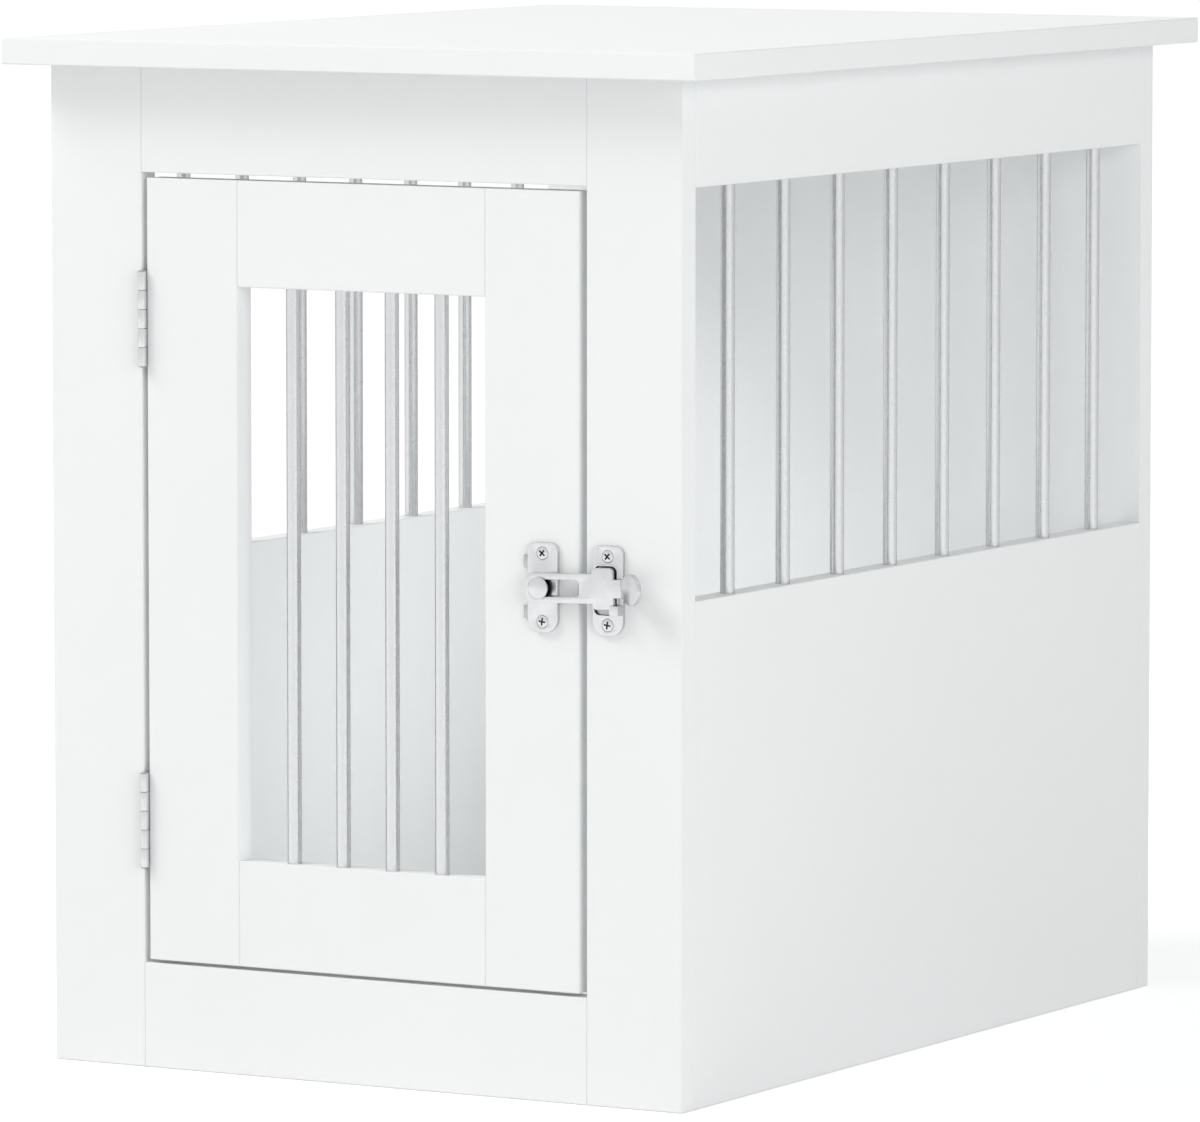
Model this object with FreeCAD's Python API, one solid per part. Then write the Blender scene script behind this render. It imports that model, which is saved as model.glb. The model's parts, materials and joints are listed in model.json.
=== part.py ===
import FreeCAD
import Part
import math
import os

# Dog crate end table: a small cabin of white boards with steel rods, a hinged barred door held by a
# flip latch, and a table top. Millimetres, +Z up, front towards -Y. The origin is on the floor under
# the middle of the table top.

# ---------------------------------------------------------------- driving dimensions

# table top and body
TOP_WIDTH = 450.0
TOP_DEPTH = 620.0
OVERALL_HEIGHT = 585.0
BOARD = 15.0                    # thickness of every board
TOP_SIDE_OVERHANG = 19.5        # table top beyond the body, left and right
TOP_END_OVERHANG = 21.5         # table top beyond the body, front and back
STILE_WIDTH = 60.5              # uprights beside the door
FRONT_RAIL_HEIGHT = 60.0        # rails above and below the door
SIDE_RAIL_HEIGHT = 60.0
SIDE_PANEL_HEIGHT = 282.5
FLOOR_LIFT = 20.0               # floor board above the ground
BOARD_EASE = 0.6                # rounding of the boards' edges
TOP_EASE = 0.9

# door
DOOR_HINGE_GAP = 3.6
DOOR_LATCH_GAP = 4.9
DOOR_TOP_GAP = 3.0
DOOR_BOTTOM_GAP = 2.0
DOOR_STILE_WIDTH = 60.0
DOOR_RAIL_HEIGHT = 60.0

# rods
ROD_DIAMETER = 8.0
ROD_SEAT = 12.0                 # length of rod inside each board
SIDE_ROD_COUNT = 8
SIDE_ROD_END_GAP = 49.5         # from the window's end to the first rod's axis
DOOR_ROD_COUNT = 4
HOLE_CLEARANCE = 0.1            # between any pin and its hole, all round

# butt hinges
HINGE_LENGTH = 54.0
HINGE_SPACING = 285.5           # between the two hinges' middles
HINGE_BARREL_DIAMETER = 5.0
HINGE_PIN_DIAMETER = 2.8
HINGE_PIN_HEAD = 0.8            # rounded pin end beyond the barrel
HINGE_RUNNING_FIT = 0.05
HINGE_KNUCKLES = 5
HINGE_KNUCKLE_GAP = 0.2
HINGE_LEAF_THICKNESS = 1.0
HINGE_LEAF_DEPTH = 13.0         # reach of a leaf into the gap, behind the front face
HINGE_BARREL_PROUD = 2.3        # barrel axis in front of the front face
HINGE_SCREW_SPACING = 34.0
HINGE_SCREW_BACK = 8.0          # hinge screws behind the front face
HINGE_SCREW_DIAMETER = 2.8
HINGE_SCREW_HEAD = 5.4
HINGE_SCREW_LENGTH = 15.0

# latch plates
LATCH_HEIGHT = 287.5            # latch axis above the ground
PLATE_WIDTH = 19.2
PLATE_LENGTH = 50.0
PLATE_THICKNESS = 2.6
PLATE_TOP_RADIUS = 4.5
PLATE_BOTTOM_RADIUS = 8.0
PLATE_ROUND = 0.5
DOOR_PLATE_SETBACK = 12.2       # from the door's free edge
KEEPER_SETBACK = 5.2            # from the opening's edge
PLATE_SCREW_SPACING = 38.0
LATCH_SCREW_DIAMETER = 3.4
LATCH_SCREW_HEAD = 7.0
LATCH_SCREW_DOME = 0.6          # rise of the raised countersunk head
LATCH_SCREW_LENGTH = 13.0
RECESS_SPAN = 0.55              # length of a screw's cross recess, per head diameter
RECESS_WIDTH = 0.16             # width of the recess, per head diameter
RECESS_DEPTH = 0.8              # depth of the recess, per height of the head's cone
LUG_REACH = 3.0                 # two small lugs on the door plate's edge
LUG_HEIGHT = 7.0
LUG_THICKNESS = 1.4
LUG_SPACING = 28.0

# latch arm and its pivot
BOSS_DIAMETER = 13.0
BOSS_RISE = 1.0
ARM_GAP = 0.2                   # arm above the boss, and below the pivot's cap
ARM_HEIGHT = 16.6
ARM_THICKNESS = 3.0
ARM_TAIL = 8.6                  # arm behind the pivot's axis
ARM_TAIL_RADIUS = 4.0
ARM_ROUND = 0.4
ARM_TILT = 2.0                  # closed arm above level, degrees
SLOT_HEIGHT = 9.3
SLOT_TO_HEAD = 8.2
HEAD_WIDTH = 13.4
HEAD_HEIGHT = 23.0
HEAD_RADIUS = 2.5
NECK_HEIGHT = 10.3
TAB_DIAMETER = 17.3
TAB_ANGLE = 30.0                # outward bend of the finger tab, degrees
TAB_ROOT = 1.2                  # from the keeper's edge to the bend
PIVOT_SHANK_DIAMETER = 6.0
PIVOT_RUNNING_FIT = 0.05
PIVOT_COLLAR_CLEARANCE = 0.1
PIVOT_CAP_DIAMETER = 12.4
PIVOT_CAP_EDGE = 0.9            # straight rim of the cap
PIVOT_CAP_DOME = 1.8            # rise of the dome above the rim
PIVOT_FOOT_DIAMETER = 8.0
PIVOT_FOOT_HEIGHT = 0.8
PIVOT_FOOT_DEPTH = 0.3          # foot inside the plate's back

# keeper
POCKET_BESIDE = 0.4             # pocket beyond the arm's head, left and right
POCKET_ABOVE = 0.8              # and at its top
POCKET_BELOW = 3.4              # and at its bottom
POCKET_RADIUS = 3.5
POCKET_FLOOR = 0.6
BEAD_WIDTH = 1.0
BEAD_RISE = 0.7
HOOK_WALL = 2.3
HOOK_LIP = 1.5                  # overlap of the hook in front of the arm's head
HOOK_LIP_THICKNESS = 1.1
HOOK_CLEARANCE = 0.3
HOOK_DROP = 2.9                 # hook's reach below the arm's head

# wooden dowels and cam fittings inside the boards
DOWEL_DIAMETER = 8.0
DOWEL_IN_FACE = 9.0
DOWEL_IN_EDGE = 20.0
CAM_DIAMETER = 15.0
CAM_DEPTH = 12.0
CAM_BACKSET = 24.0              # cam axis from the end of its board
CAM_RECESS_LENGTH = 7.5
CAM_RECESS_WIDTH = 2.0
CAM_RECESS_DEPTH = 2.5
CAM_BOLT_DIAMETER = 6.0
CAM_BOLT_HEAD_DIAMETER = 7.0
CAM_BOLT_HEAD_LENGTH = 3.0
CAM_BOLT_NECK_DIAMETER = 4.0
CAM_BOLT_NECK_LENGTH = 5.0
CAM_BOLT_IN_FACE = 10.0
FITTING_OFFSET = 13.0           # dowel and cam each side of a rail's middle
PANEL_DOWEL_INSET = 45.0        # dowels from the lower panel's ends
PANEL_CAM_INSET = 90.0
LONG_EDGE_DOWEL_INSET = 90.0    # dowels and cams along the long edges
LONG_EDGE_CAM_INSET = 150.0

# modelling
CUT_MARGIN = 1.0                # how far a cutter runs past the face it opens
DOME_STEPS = 6                  # straight steps from a dome's rim to its top
SAME_PLACE = 1e-4               # points nearer than this are one

# ---------------------------------------------------------------- derived places

body_top = OVERALL_HEIGHT - BOARD
right = TOP_WIDTH / 2 - TOP_SIDE_OVERHANG
left = -right
back = TOP_DEPTH / 2 - TOP_END_OVERHANG
front = -back
inner_front = front + BOARD
inner_back = back - BOARD
inner_left = left + BOARD
inner_right = right - BOARD
opening_left = left + STILE_WIDTH
opening_right = right - STILE_WIDTH
opening_bottom = FRONT_RAIL_HEIGHT
opening_top = body_top - FRONT_RAIL_HEIGHT
side_rail_bottom = body_top - SIDE_RAIL_HEIGHT
floor_top = FLOOR_LIFT + BOARD

door_left = opening_left + DOOR_HINGE_GAP
door_right = opening_right - DOOR_LATCH_GAP
door_bottom = opening_bottom + DOOR_BOTTOM_GAP
door_top = opening_top - DOOR_TOP_GAP
window_left = door_left + DOOR_STILE_WIDTH
window_right = door_right - DOOR_STILE_WIDTH
window_bottom = door_bottom + DOOR_RAIL_HEIGHT
window_top = door_top - DOOR_RAIL_HEIGHT

hinge_x = opening_left + DOOR_HINGE_GAP / 2
hinge_y = front - HINGE_BARREL_PROUD
hinge_middle = (door_bottom + door_top) / 2

door_plate_right = door_right - DOOR_PLATE_SETBACK
pivot_x = door_plate_right - PLATE_WIDTH / 2
keeper_left = opening_right + KEEPER_SETBACK
keeper_right = keeper_left + PLATE_WIDTH
keeper_x = (keeper_left + keeper_right) / 2

arm_back = front - PLATE_THICKNESS - BOSS_RISE - ARM_GAP
arm_front = arm_back - ARM_THICKNESS
hook_inner = keeper_right - HOOK_WALL
# the head's corner swings past the hook's wall on this radius
head_swing = hook_inner - HOOK_CLEARANCE - pivot_x
head_right = pivot_x + math.sqrt(head_swing ** 2 - (HEAD_HEIGHT / 2) ** 2)
head_left = head_right - HEAD_WIDTH
slot_right = head_left - SLOT_TO_HEAD
slot_travel = slot_right - SLOT_HEIGHT / 2 - pivot_x
tab_root = keeper_right + TAB_ROOT
tab_middle = tab_root + TAB_DIAMETER / 2 * math.cos(math.radians(TAB_ANGLE))
# heights of the tilted arm's head, and of its tab when the arm is drawn back
head_middle = LATCH_HEIGHT + math.sin(math.radians(ARM_TILT)) * (
    (head_left + head_right) / 2 - pivot_x)
drawn_tab = LATCH_HEIGHT + math.sin(math.radians(ARM_TILT)) * (
    tab_middle - slot_travel - pivot_x)

X_AXIS = FreeCAD.Vector(1, 0, 0)
Y_AXIS = FreeCAD.Vector(0, 1, 0)
Z_AXIS = FreeCAD.Vector(0, 0, 1)


# ---------------------------------------------------------------- small shape helpers

def point(x, y, z):
    return FreeCAD.Vector(x, y, z)


def block(x0, x1, y0, y1, z0, z1):
    """A box between two corners."""
    return Part.makeBox(x1 - x0, y1 - y0, z1 - z0, point(x0, y0, z0))


def board(x0, x1, y0, y1, z0, z1, ease=BOARD_EASE):
    """A board with lightly rounded edges."""
    solid = block(x0, x1, y0, y1, z0, z1)
    return solid.makeFillet(ease, solid.Edges)


def rod_between(start, direction, length, diameter):
    return Part.makeCylinder(diameter / 2, length, start, direction)


def turned(profile, place, direction):
    """A solid turned from (radius, height) points about an axis through place."""
    points = [point(r, 0, h) for r, h in profile]
    face = Part.Face(Part.makePolygon(points + [points[0]]))
    solid = face.revolve(point(0, 0, 0), Z_AXIS, 360)
    turn = FreeCAD.Rotation(Z_AXIS, direction)
    solid.Placement = FreeCAD.Placement(place, turn)
    return solid


def dome_profile(radius, base, rise):
    """Points of a shallow dome from its rim to its top."""
    sphere = (radius ** 2 + rise ** 2) / (2 * rise)
    reach = math.asin(radius / sphere)
    angles = [reach * (1 - i / DOME_STEPS) for i in range(DOME_STEPS + 1)]
    return [(sphere * math.sin(angle), base + rise - sphere + sphere * math.cos(angle))
            for angle in angles]


def rounded_plate(x0, x1, z0, z1, y_back, thickness, bottom_radius, top_radius):
    """A flat plate standing proud of the front, with rounded corners."""
    solid = block(x0, x1, y_back - thickness, y_back, z0, z1)
    for z, radius in ((z0, bottom_radius), (z1, top_radius)):
        corners = [e for e in solid.Edges
                   if along_y(e) and abs(e.CenterOfMass.z - z) < SAME_PLACE]
        solid = solid.makeFillet(radius, corners)
    return solid


def along_y(edge):
    if edge.Curve.TypeId != "Part::GeomLine":
        return False
    first, last = edge.Vertexes[0].Point, edge.Vertexes[-1].Point
    return abs(first.x - last.x) < SAME_PLACE and abs(first.z - last.z) < SAME_PLACE


def ease_front(solid, y_front, radius):
    """Round the edges that bound the face at y_front."""
    edges = [e for e in solid.Edges
             if all(abs(v.Point.y - y_front) < SAME_PLACE for v in e.Vertexes)
             and abs(e.CenterOfMass.y - y_front) < SAME_PLACE]
    return solid.makeFillet(radius, edges)


# ---------------------------------------------------------------- boards

def carcass_boards():
    """Every fixed board, by node name."""
    return {
        "top_panel": board(-TOP_WIDTH / 2, TOP_WIDTH / 2, -TOP_DEPTH / 2, TOP_DEPTH / 2,
                           body_top, OVERALL_HEIGHT, TOP_EASE),
        "front_left_stile": board(left, opening_left, front, inner_front, 0, body_top),
        "front_right_stile": board(opening_right, right, front, inner_front, 0, body_top),
        "front_top_rail": board(opening_left, opening_right, front, inner_front,
                                opening_top, body_top),
        "front_bottom_rail": board(opening_left, opening_right, front, inner_front,
                                   0, opening_bottom),
        "back_panel": board(left, right, inner_back, back, 0, body_top),
        "left_lower_panel": board(left, inner_left, inner_front, inner_back,
                                  0, SIDE_PANEL_HEIGHT),
        "right_lower_panel": board(inner_right, right, inner_front, inner_back,
                                   0, SIDE_PANEL_HEIGHT),
        "left_upper_rail": board(left, inner_left, inner_front, inner_back,
                                 side_rail_bottom, body_top),
        "right_upper_rail": board(inner_right, right, inner_front, inner_back,
                                  side_rail_bottom, body_top),
        "floor_panel": board(inner_left, inner_right, inner_front, inner_back,
                             FLOOR_LIFT, floor_top),
    }


def door_boards():
    """The four boards of the door frame, by node name."""
    return {
        "door_left_stile": board(door_left, window_left, front, inner_front,
                                 door_bottom, door_top),
        "door_right_stile": board(window_right, door_right, front, inner_front,
                                  door_bottom, door_top),
        "door_top_rail": board(window_left, window_right, front, inner_front,
                               window_top, door_top),
        "door_bottom_rail": board(window_left, window_right, front, inner_front,
                                  door_bottom, window_bottom),
    }


# ---------------------------------------------------------------- rods

def fit_rods(boards, lower, upper, places, bottom, top):
    """Rods standing in blind holes of a lower and an upper board; returns the rods."""
    rods = []
    for x, y in places:
        start = point(x, y, bottom - ROD_SEAT)
        length = top - bottom + 2 * ROD_SEAT
        rods.append(rod_between(start, Z_AXIS, length, ROD_DIAMETER))
        hole_start = point(x, y, bottom - ROD_SEAT - HOLE_CLEARANCE)
        hole = rod_between(hole_start, Z_AXIS, length + 2 * HOLE_CLEARANCE,
                           ROD_DIAMETER + 2 * HOLE_CLEARANCE)
        boards[lower] = boards[lower].cut(hole)
        boards[upper] = boards[upper].cut(hole)
    return rods


def side_rods(boards, side, x):
    pitch = (inner_back - inner_front - 2 * SIDE_ROD_END_GAP) / (SIDE_ROD_COUNT - 1)
    places = [(x, inner_front + SIDE_ROD_END_GAP + i * pitch) for i in range(SIDE_ROD_COUNT)]
    rods = fit_rods(boards, side + "_lower_panel", side + "_upper_rail", places,
                    SIDE_PANEL_HEIGHT, side_rail_bottom)
    return {"%s_side_rod_%d" % (side, i + 1): rod for i, rod in enumerate(rods)}


def door_rods(boards):
    pitch = (window_right - window_left) / (DOOR_ROD_COUNT + 1)
    y = (front + inner_front) / 2
    places = [(window_left + (i + 1) * pitch, y) for i in range(DOOR_ROD_COUNT)]
    rods = fit_rods(boards, "door_bottom_rail", "door_top_rail", places,
                    window_bottom, window_top)
    return {"door_rod_%d" % (i + 1): rod for i, rod in enumerate(rods)}


# ---------------------------------------------------------------- dowels and cam fittings

def fit_dowel(boards, dowels, place, direction, first, second, in_first, in_second):
    """A dowel across a joint; direction points into the second board."""
    start = place - direction * in_first
    dowels.append(rod_between(start, direction, in_first + in_second, DOWEL_DIAMETER))
    hole_start = start - direction * HOLE_CLEARANCE
    hole = rod_between(hole_start, direction, in_first + in_second + 2 * HOLE_CLEARANCE,
                       DOWEL_DIAMETER + 2 * HOLE_CLEARANCE)
    boards[first] = boards[first].cut(hole)
    boards[second] = boards[second].cut(hole)


def fit_cam(boards, locks, bolts, place, direction, cam_face, bolt_board, cam_board):
    """A bolt set in bolt_board and drawn by a cam in cam_board.

    direction points into cam_board along the bolt, and cam_face out of the face that the cam shows in.
    """
    axis_point = place + direction * CAM_BACKSET
    surface = axis_point + cam_face * (BOARD / 2)
    bottom = surface - cam_face * CAM_DEPTH
    pocket = rod_between(bottom - cam_face * HOLE_CLEARANCE, cam_face,
                         CAM_DEPTH + HOLE_CLEARANCE + CUT_MARGIN,
                         CAM_DIAMETER + 2 * HOLE_CLEARANCE)
    bolt_length = CAM_BOLT_IN_FACE + CAM_BACKSET
    bore = rod_between(place - direction * (CAM_BOLT_IN_FACE + HOLE_CLEARANCE), direction,
                       bolt_length + HOLE_CLEARANCE, CAM_BOLT_DIAMETER + 2 * HOLE_CLEARANCE)
    guide = rod_between(place, direction, CAM_BACKSET,
                        CAM_BOLT_HEAD_DIAMETER + 2 * HOLE_CLEARANCE)
    boards[bolt_board] = boards[bolt_board].cut(bore)
    boards[cam_board] = boards[cam_board].cut(pocket.fuse(guide))
    bolts.append(cam_bolt(place - direction * CAM_BOLT_IN_FACE, direction, bolt_length))
    locks.append(cam_lock(bottom, cam_face, axis_point, direction))


def cam_bolt(start, direction, length):
    """A bolt with a thick shank, a thin neck and a small head for the cam."""
    shank = length - CAM_BOLT_NECK_LENGTH - CAM_BOLT_HEAD_LENGTH
    neck_end = shank + CAM_BOLT_NECK_LENGTH
    profile = [(0, 0), (CAM_BOLT_DIAMETER / 2, 0), (CAM_BOLT_DIAMETER / 2, shank),
               (CAM_BOLT_NECK_DIAMETER / 2, shank), (CAM_BOLT_NECK_DIAMETER / 2, neck_end),
               (CAM_BOLT_HEAD_DIAMETER / 2, neck_end), (CAM_BOLT_HEAD_DIAMETER / 2, length),
               (0, length)]
    return turned(profile, start, direction)


def cam_lock(bottom, cam_face, axis_point, direction):
    """A round cam with a way in for the bolt's head and a cross recess."""
    lock = rod_between(bottom, cam_face, CAM_DEPTH, CAM_DIAMETER)
    entry = rod_between(axis_point - direction * CAM_DIAMETER, direction,
                        CAM_DIAMETER + HOLE_CLEARANCE,
                        CAM_BOLT_HEAD_DIAMETER + 2 * HOLE_CLEARANCE)
    lock = lock.cut(entry)
    top = bottom + cam_face * CAM_DEPTH
    side = cam_face.cross(direction)
    for along in (direction, side):
        lock = lock.cut(recess_bar(top, cam_face, along, CAM_RECESS_LENGTH, CAM_RECESS_WIDTH,
                                   CAM_RECESS_DEPTH))
    return lock


def recess_bar(top, outward, along, length, width, depth):
    """A straight cutter sunk into a face, for cross recesses."""
    across = outward.cross(along)
    corner = top - along * (length / 2) - across * (width / 2) - outward * depth
    points = [corner, corner + along * length, corner + along * length + across * width,
              corner + across * width]
    face = Part.Face(Part.makePolygon(points + [points[0]]))
    return face.extrude(outward * (depth + CUT_MARGIN))


def carcass_fittings(boards):
    """Dowels, cam locks and cam bolts of the fixed body, with their holes cut in the boards."""
    dowels, locks, bolts = [], [], []
    upper_middle = (side_rail_bottom + body_top) / 2
    for side, x, face in (("left", left + BOARD / 2, X_AXIS), ("right", right - BOARD / 2, -X_AXIS)):
        for end_board, y, inward in ((("front_%s_stile" % side), inner_front, Y_AXIS),
                                     ("back_panel", inner_back, -Y_AXIS)):
            ends = [(side + "_upper_rail", upper_middle - FITTING_OFFSET,
                     upper_middle + FITTING_OFFSET),
                    (side + "_lower_panel", PANEL_DOWEL_INSET, PANEL_CAM_INSET),
                    (side + "_lower_panel", SIDE_PANEL_HEIGHT - PANEL_DOWEL_INSET,
                     SIDE_PANEL_HEIGHT - PANEL_CAM_INSET)]
            for panel, dowel_z, cam_z in ends:
                fit_dowel(boards, dowels, point(x, y, dowel_z), inward, end_board, panel,
                          DOWEL_IN_FACE, DOWEL_IN_EDGE)
                fit_cam(boards, locks, bolts, point(x, y, cam_z), inward, face, end_board, panel)
        # table top on the side rail, and floor board on the lower panel
        panel = side + "_lower_panel"
        rail = side + "_upper_rail"
        floor_x = inner_left if side == "left" else inner_right
        for sign in (-1, 1):
            dowel_y = sign * (back - LONG_EDGE_DOWEL_INSET)
            cam_y = sign * (back - LONG_EDGE_CAM_INSET)
            fit_dowel(boards, dowels, point(x, dowel_y, body_top), -Z_AXIS, "top_panel", rail,
                      DOWEL_IN_FACE, DOWEL_IN_EDGE)
            fit_cam(boards, locks, bolts, point(x, cam_y, body_top), -Z_AXIS, face,
                    "top_panel", rail)
            middle = FLOOR_LIFT + BOARD / 2
            fit_dowel(boards, dowels, point(floor_x, dowel_y, middle), face, panel,
                      "floor_panel", DOWEL_IN_FACE, DOWEL_IN_EDGE)
            fit_cam(boards, locks, bolts, point(floor_x, cam_y, middle), face, -Z_AXIS,
                    panel, "floor_panel")
    y = (front + inner_front) / 2
    for rail, middle in (("front_top_rail", (opening_top + body_top) / 2),
                         ("front_bottom_rail", opening_bottom / 2)):
        fit_rail_ends(boards, dowels, locks, bolts, rail, point(0, y, middle), Z_AXIS,
                      ("front_left_stile", opening_left), ("front_right_stile", opening_right))
    return {"carcass_dowels": dowels, "carcass_cam_locks": locks, "carcass_cam_bolts": bolts}


def fit_rail_ends(boards, dowels, locks, bolts, rail, middle, cam_side, left_stile, right_stile):
    """One dowel and one cam fitting at each end of a rail between two stiles.

    middle is on the rail's long middle line, and cam_side points from it to the cams.
    """
    offset = cam_side * FITTING_OFFSET
    for (stile, x), inward in ((left_stile, X_AXIS), (right_stile, -X_AXIS)):
        end = point(x, middle.y, middle.z)
        fit_dowel(boards, dowels, end - offset, inward, stile, rail, DOWEL_IN_EDGE, DOWEL_IN_EDGE)
        fit_cam(boards, locks, bolts, end + offset, inward, Y_AXIS, stile, rail)


def door_fittings(boards):
    """Dowels, cam locks and cam bolts that hold the door frame together."""
    dowels, locks, bolts = [], [], []
    y = (front + inner_front) / 2
    # the cams sit away from the window, clear of the rods' ends
    for rail, middle, cam_side in (
            ("door_top_rail", (window_top + door_top) / 2, Z_AXIS),
            ("door_bottom_rail", (door_bottom + window_bottom) / 2, -Z_AXIS)):
        fit_rail_ends(boards, dowels, locks, bolts, rail, point(0, y, middle), cam_side,
                      ("door_left_stile", window_left), ("door_right_stile", window_right))
    return {"door_dowels": dowels, "door_cam_locks": locks, "door_cam_bolts": bolts}


# ---------------------------------------------------------------- screws

def countersunk_screw(place, inward, diameter, head, length, dome):
    """A countersunk screw whose head's rim is at place, with a cross recess."""
    cone = (head - diameter) / 2
    profile = [(0, -length), (diameter / 2, -length + diameter), (diameter / 2, -cone),
               (head / 2, 0)]
    profile += dome_profile(head / 2, 0, dome)[1:] if dome > 0 else [(0, 0)]
    screw = turned(profile, place, -inward)
    side = Z_AXIS
    across = inward.cross(side)
    top = place - inward * dome
    for along in (side, across):
        screw = screw.cut(recess_bar(top, -inward, along, head * RECESS_SPAN,
                                     head * RECESS_WIDTH, cone * RECESS_DEPTH + dome))
    return screw


def screw_hole(place, inward, diameter, head, length):
    """The cutter for a countersunk screw's hole, a little larger all round."""
    cone = (head - diameter) / 2
    rim = head / 2 + HOLE_CLEARANCE
    shank = diameter / 2 + HOLE_CLEARANCE
    profile = [(0, -length - HOLE_CLEARANCE), (shank, -length + diameter - HOLE_CLEARANCE),
               (shank, -cone - HOLE_CLEARANCE), (rim, -HOLE_CLEARANCE), (rim, CUT_MARGIN),
               (0, CUT_MARGIN)]
    return turned(profile, place, -inward)


# ---------------------------------------------------------------- hinges

def hinge_leaf(middle, side, knuckles):
    """A leaf in the door gap with its knuckles; side is -1 on the frame and 1 on the door."""
    bottom = middle - HINGE_LENGTH / 2
    knuckle = HINGE_LENGTH / HINGE_KNUCKLES
    barrel_clearance = HINGE_BARREL_DIAMETER / 2 + HINGE_KNUCKLE_GAP
    wood = hinge_x + side * DOOR_HINGE_GAP / 2
    inside = wood - side * HINGE_LEAF_THICKNESS
    x0, x1 = min(wood, inside), max(wood, inside)
    leaf_start = hinge_y + barrel_clearance
    leaf = block(x0, x1, leaf_start, front + HINGE_LEAF_DEPTH, bottom, bottom + HINGE_LENGTH)
    bore_radius = HINGE_PIN_DIAMETER / 2 + HINGE_RUNNING_FIT
    for i in knuckles:
        z0 = bottom + i * knuckle + HINGE_KNUCKLE_GAP / 2
        height = knuckle - HINGE_KNUCKLE_GAP
        ring = Part.makeCylinder(HINGE_BARREL_DIAMETER / 2, height, point(hinge_x, hinge_y, z0))
        strip = block(x0, x1, hinge_y, leaf_start, z0, z0 + height)
        leaf = leaf.fuse([ring, strip])
    bore = Part.makeCylinder(bore_radius, HINGE_LENGTH + 2 * CUT_MARGIN,
                             point(hinge_x, hinge_y, bottom - CUT_MARGIN))
    return leaf.cut(bore).removeSplitter()


def hinge_pin(middle):
    """The pin, with a low rounded end above and below the barrel."""
    half = HINGE_LENGTH / 2
    shank = HINGE_PIN_DIAMETER / 2
    rim = HINGE_BARREL_DIAMETER / 2
    gap = HINGE_KNUCKLE_GAP / 2
    upper = dome_profile(rim, half + gap, HINGE_PIN_HEAD)
    lower = [(r, -h) for r, h in reversed(upper)]
    profile = lower + [(shank, -half - gap), (shank, half + gap)] + upper
    return turned(profile, point(hinge_x, hinge_y, middle), Z_AXIS)


def hinge_screws(boards, leaf_nodes, nodes, middles, side, stile):
    """The screws of one side of both hinges, with their holes in leaf and stile."""
    screws = []
    inward = X_AXIS * side
    wood = hinge_x + side * DOOR_HINGE_GAP / 2
    for leaf_node, middle in zip(leaf_nodes, middles):
        for sign in (-1, 1):
            place = point(wood - side * HINGE_LEAF_THICKNESS, front + HINGE_SCREW_BACK,
                          middle + sign * HINGE_SCREW_SPACING / 2)
            hole = screw_hole(place, inward, HINGE_SCREW_DIAMETER, HINGE_SCREW_HEAD,
                              HINGE_SCREW_LENGTH)
            nodes[leaf_node] = nodes[leaf_node].cut(hole)
            boards[stile] = boards[stile].cut(hole)
            screws.append(countersunk_screw(place, inward, HINGE_SCREW_DIAMETER,
                                            HINGE_SCREW_HEAD, HINGE_SCREW_LENGTH, 0))
    return screws


def hinges(carcass, door):
    """Both butt hinges: leaves, pins and screws."""
    nodes = {}
    middles = (hinge_middle + HINGE_SPACING / 2, hinge_middle - HINGE_SPACING / 2)
    frame_leaves, door_leaves = [], []
    for name, middle in zip(("upper", "lower"), middles):
        frame_leaf = name + "_hinge_frame_leaf"
        door_leaf = name + "_hinge_door_leaf"
        nodes[frame_leaf] = hinge_leaf(middle, -1, range(0, HINGE_KNUCKLES, 2))
        nodes[door_leaf] = hinge_leaf(middle, 1, range(1, HINGE_KNUCKLES, 2))
        nodes[name + "_hinge_pin"] = hinge_pin(middle)
        frame_leaves.append(frame_leaf)
        door_leaves.append(door_leaf)
    frame_screws = hinge_screws(carcass, frame_leaves, nodes, middles, -1, "front_left_stile")
    door_screws = hinge_screws(door, door_leaves, nodes, middles, 1, "door_left_stile")
    nodes["hinge_frame_screws"] = Part.makeCompound(frame_screws)
    nodes["hinge_door_screws"] = Part.makeCompound(door_screws)
    return nodes


# ---------------------------------------------------------------- latch

def latch_plate(x_middle):
    """The plain plate that both halves of the latch start from."""
    plate = rounded_plate(x_middle - PLATE_WIDTH / 2, x_middle + PLATE_WIDTH / 2,
                          LATCH_HEIGHT - PLATE_LENGTH / 2, LATCH_HEIGHT + PLATE_LENGTH / 2,
                          front, PLATE_THICKNESS, PLATE_BOTTOM_RADIUS, PLATE_TOP_RADIUS)
    return ease_front(plate, front - PLATE_THICKNESS, PLATE_ROUND)


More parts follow.
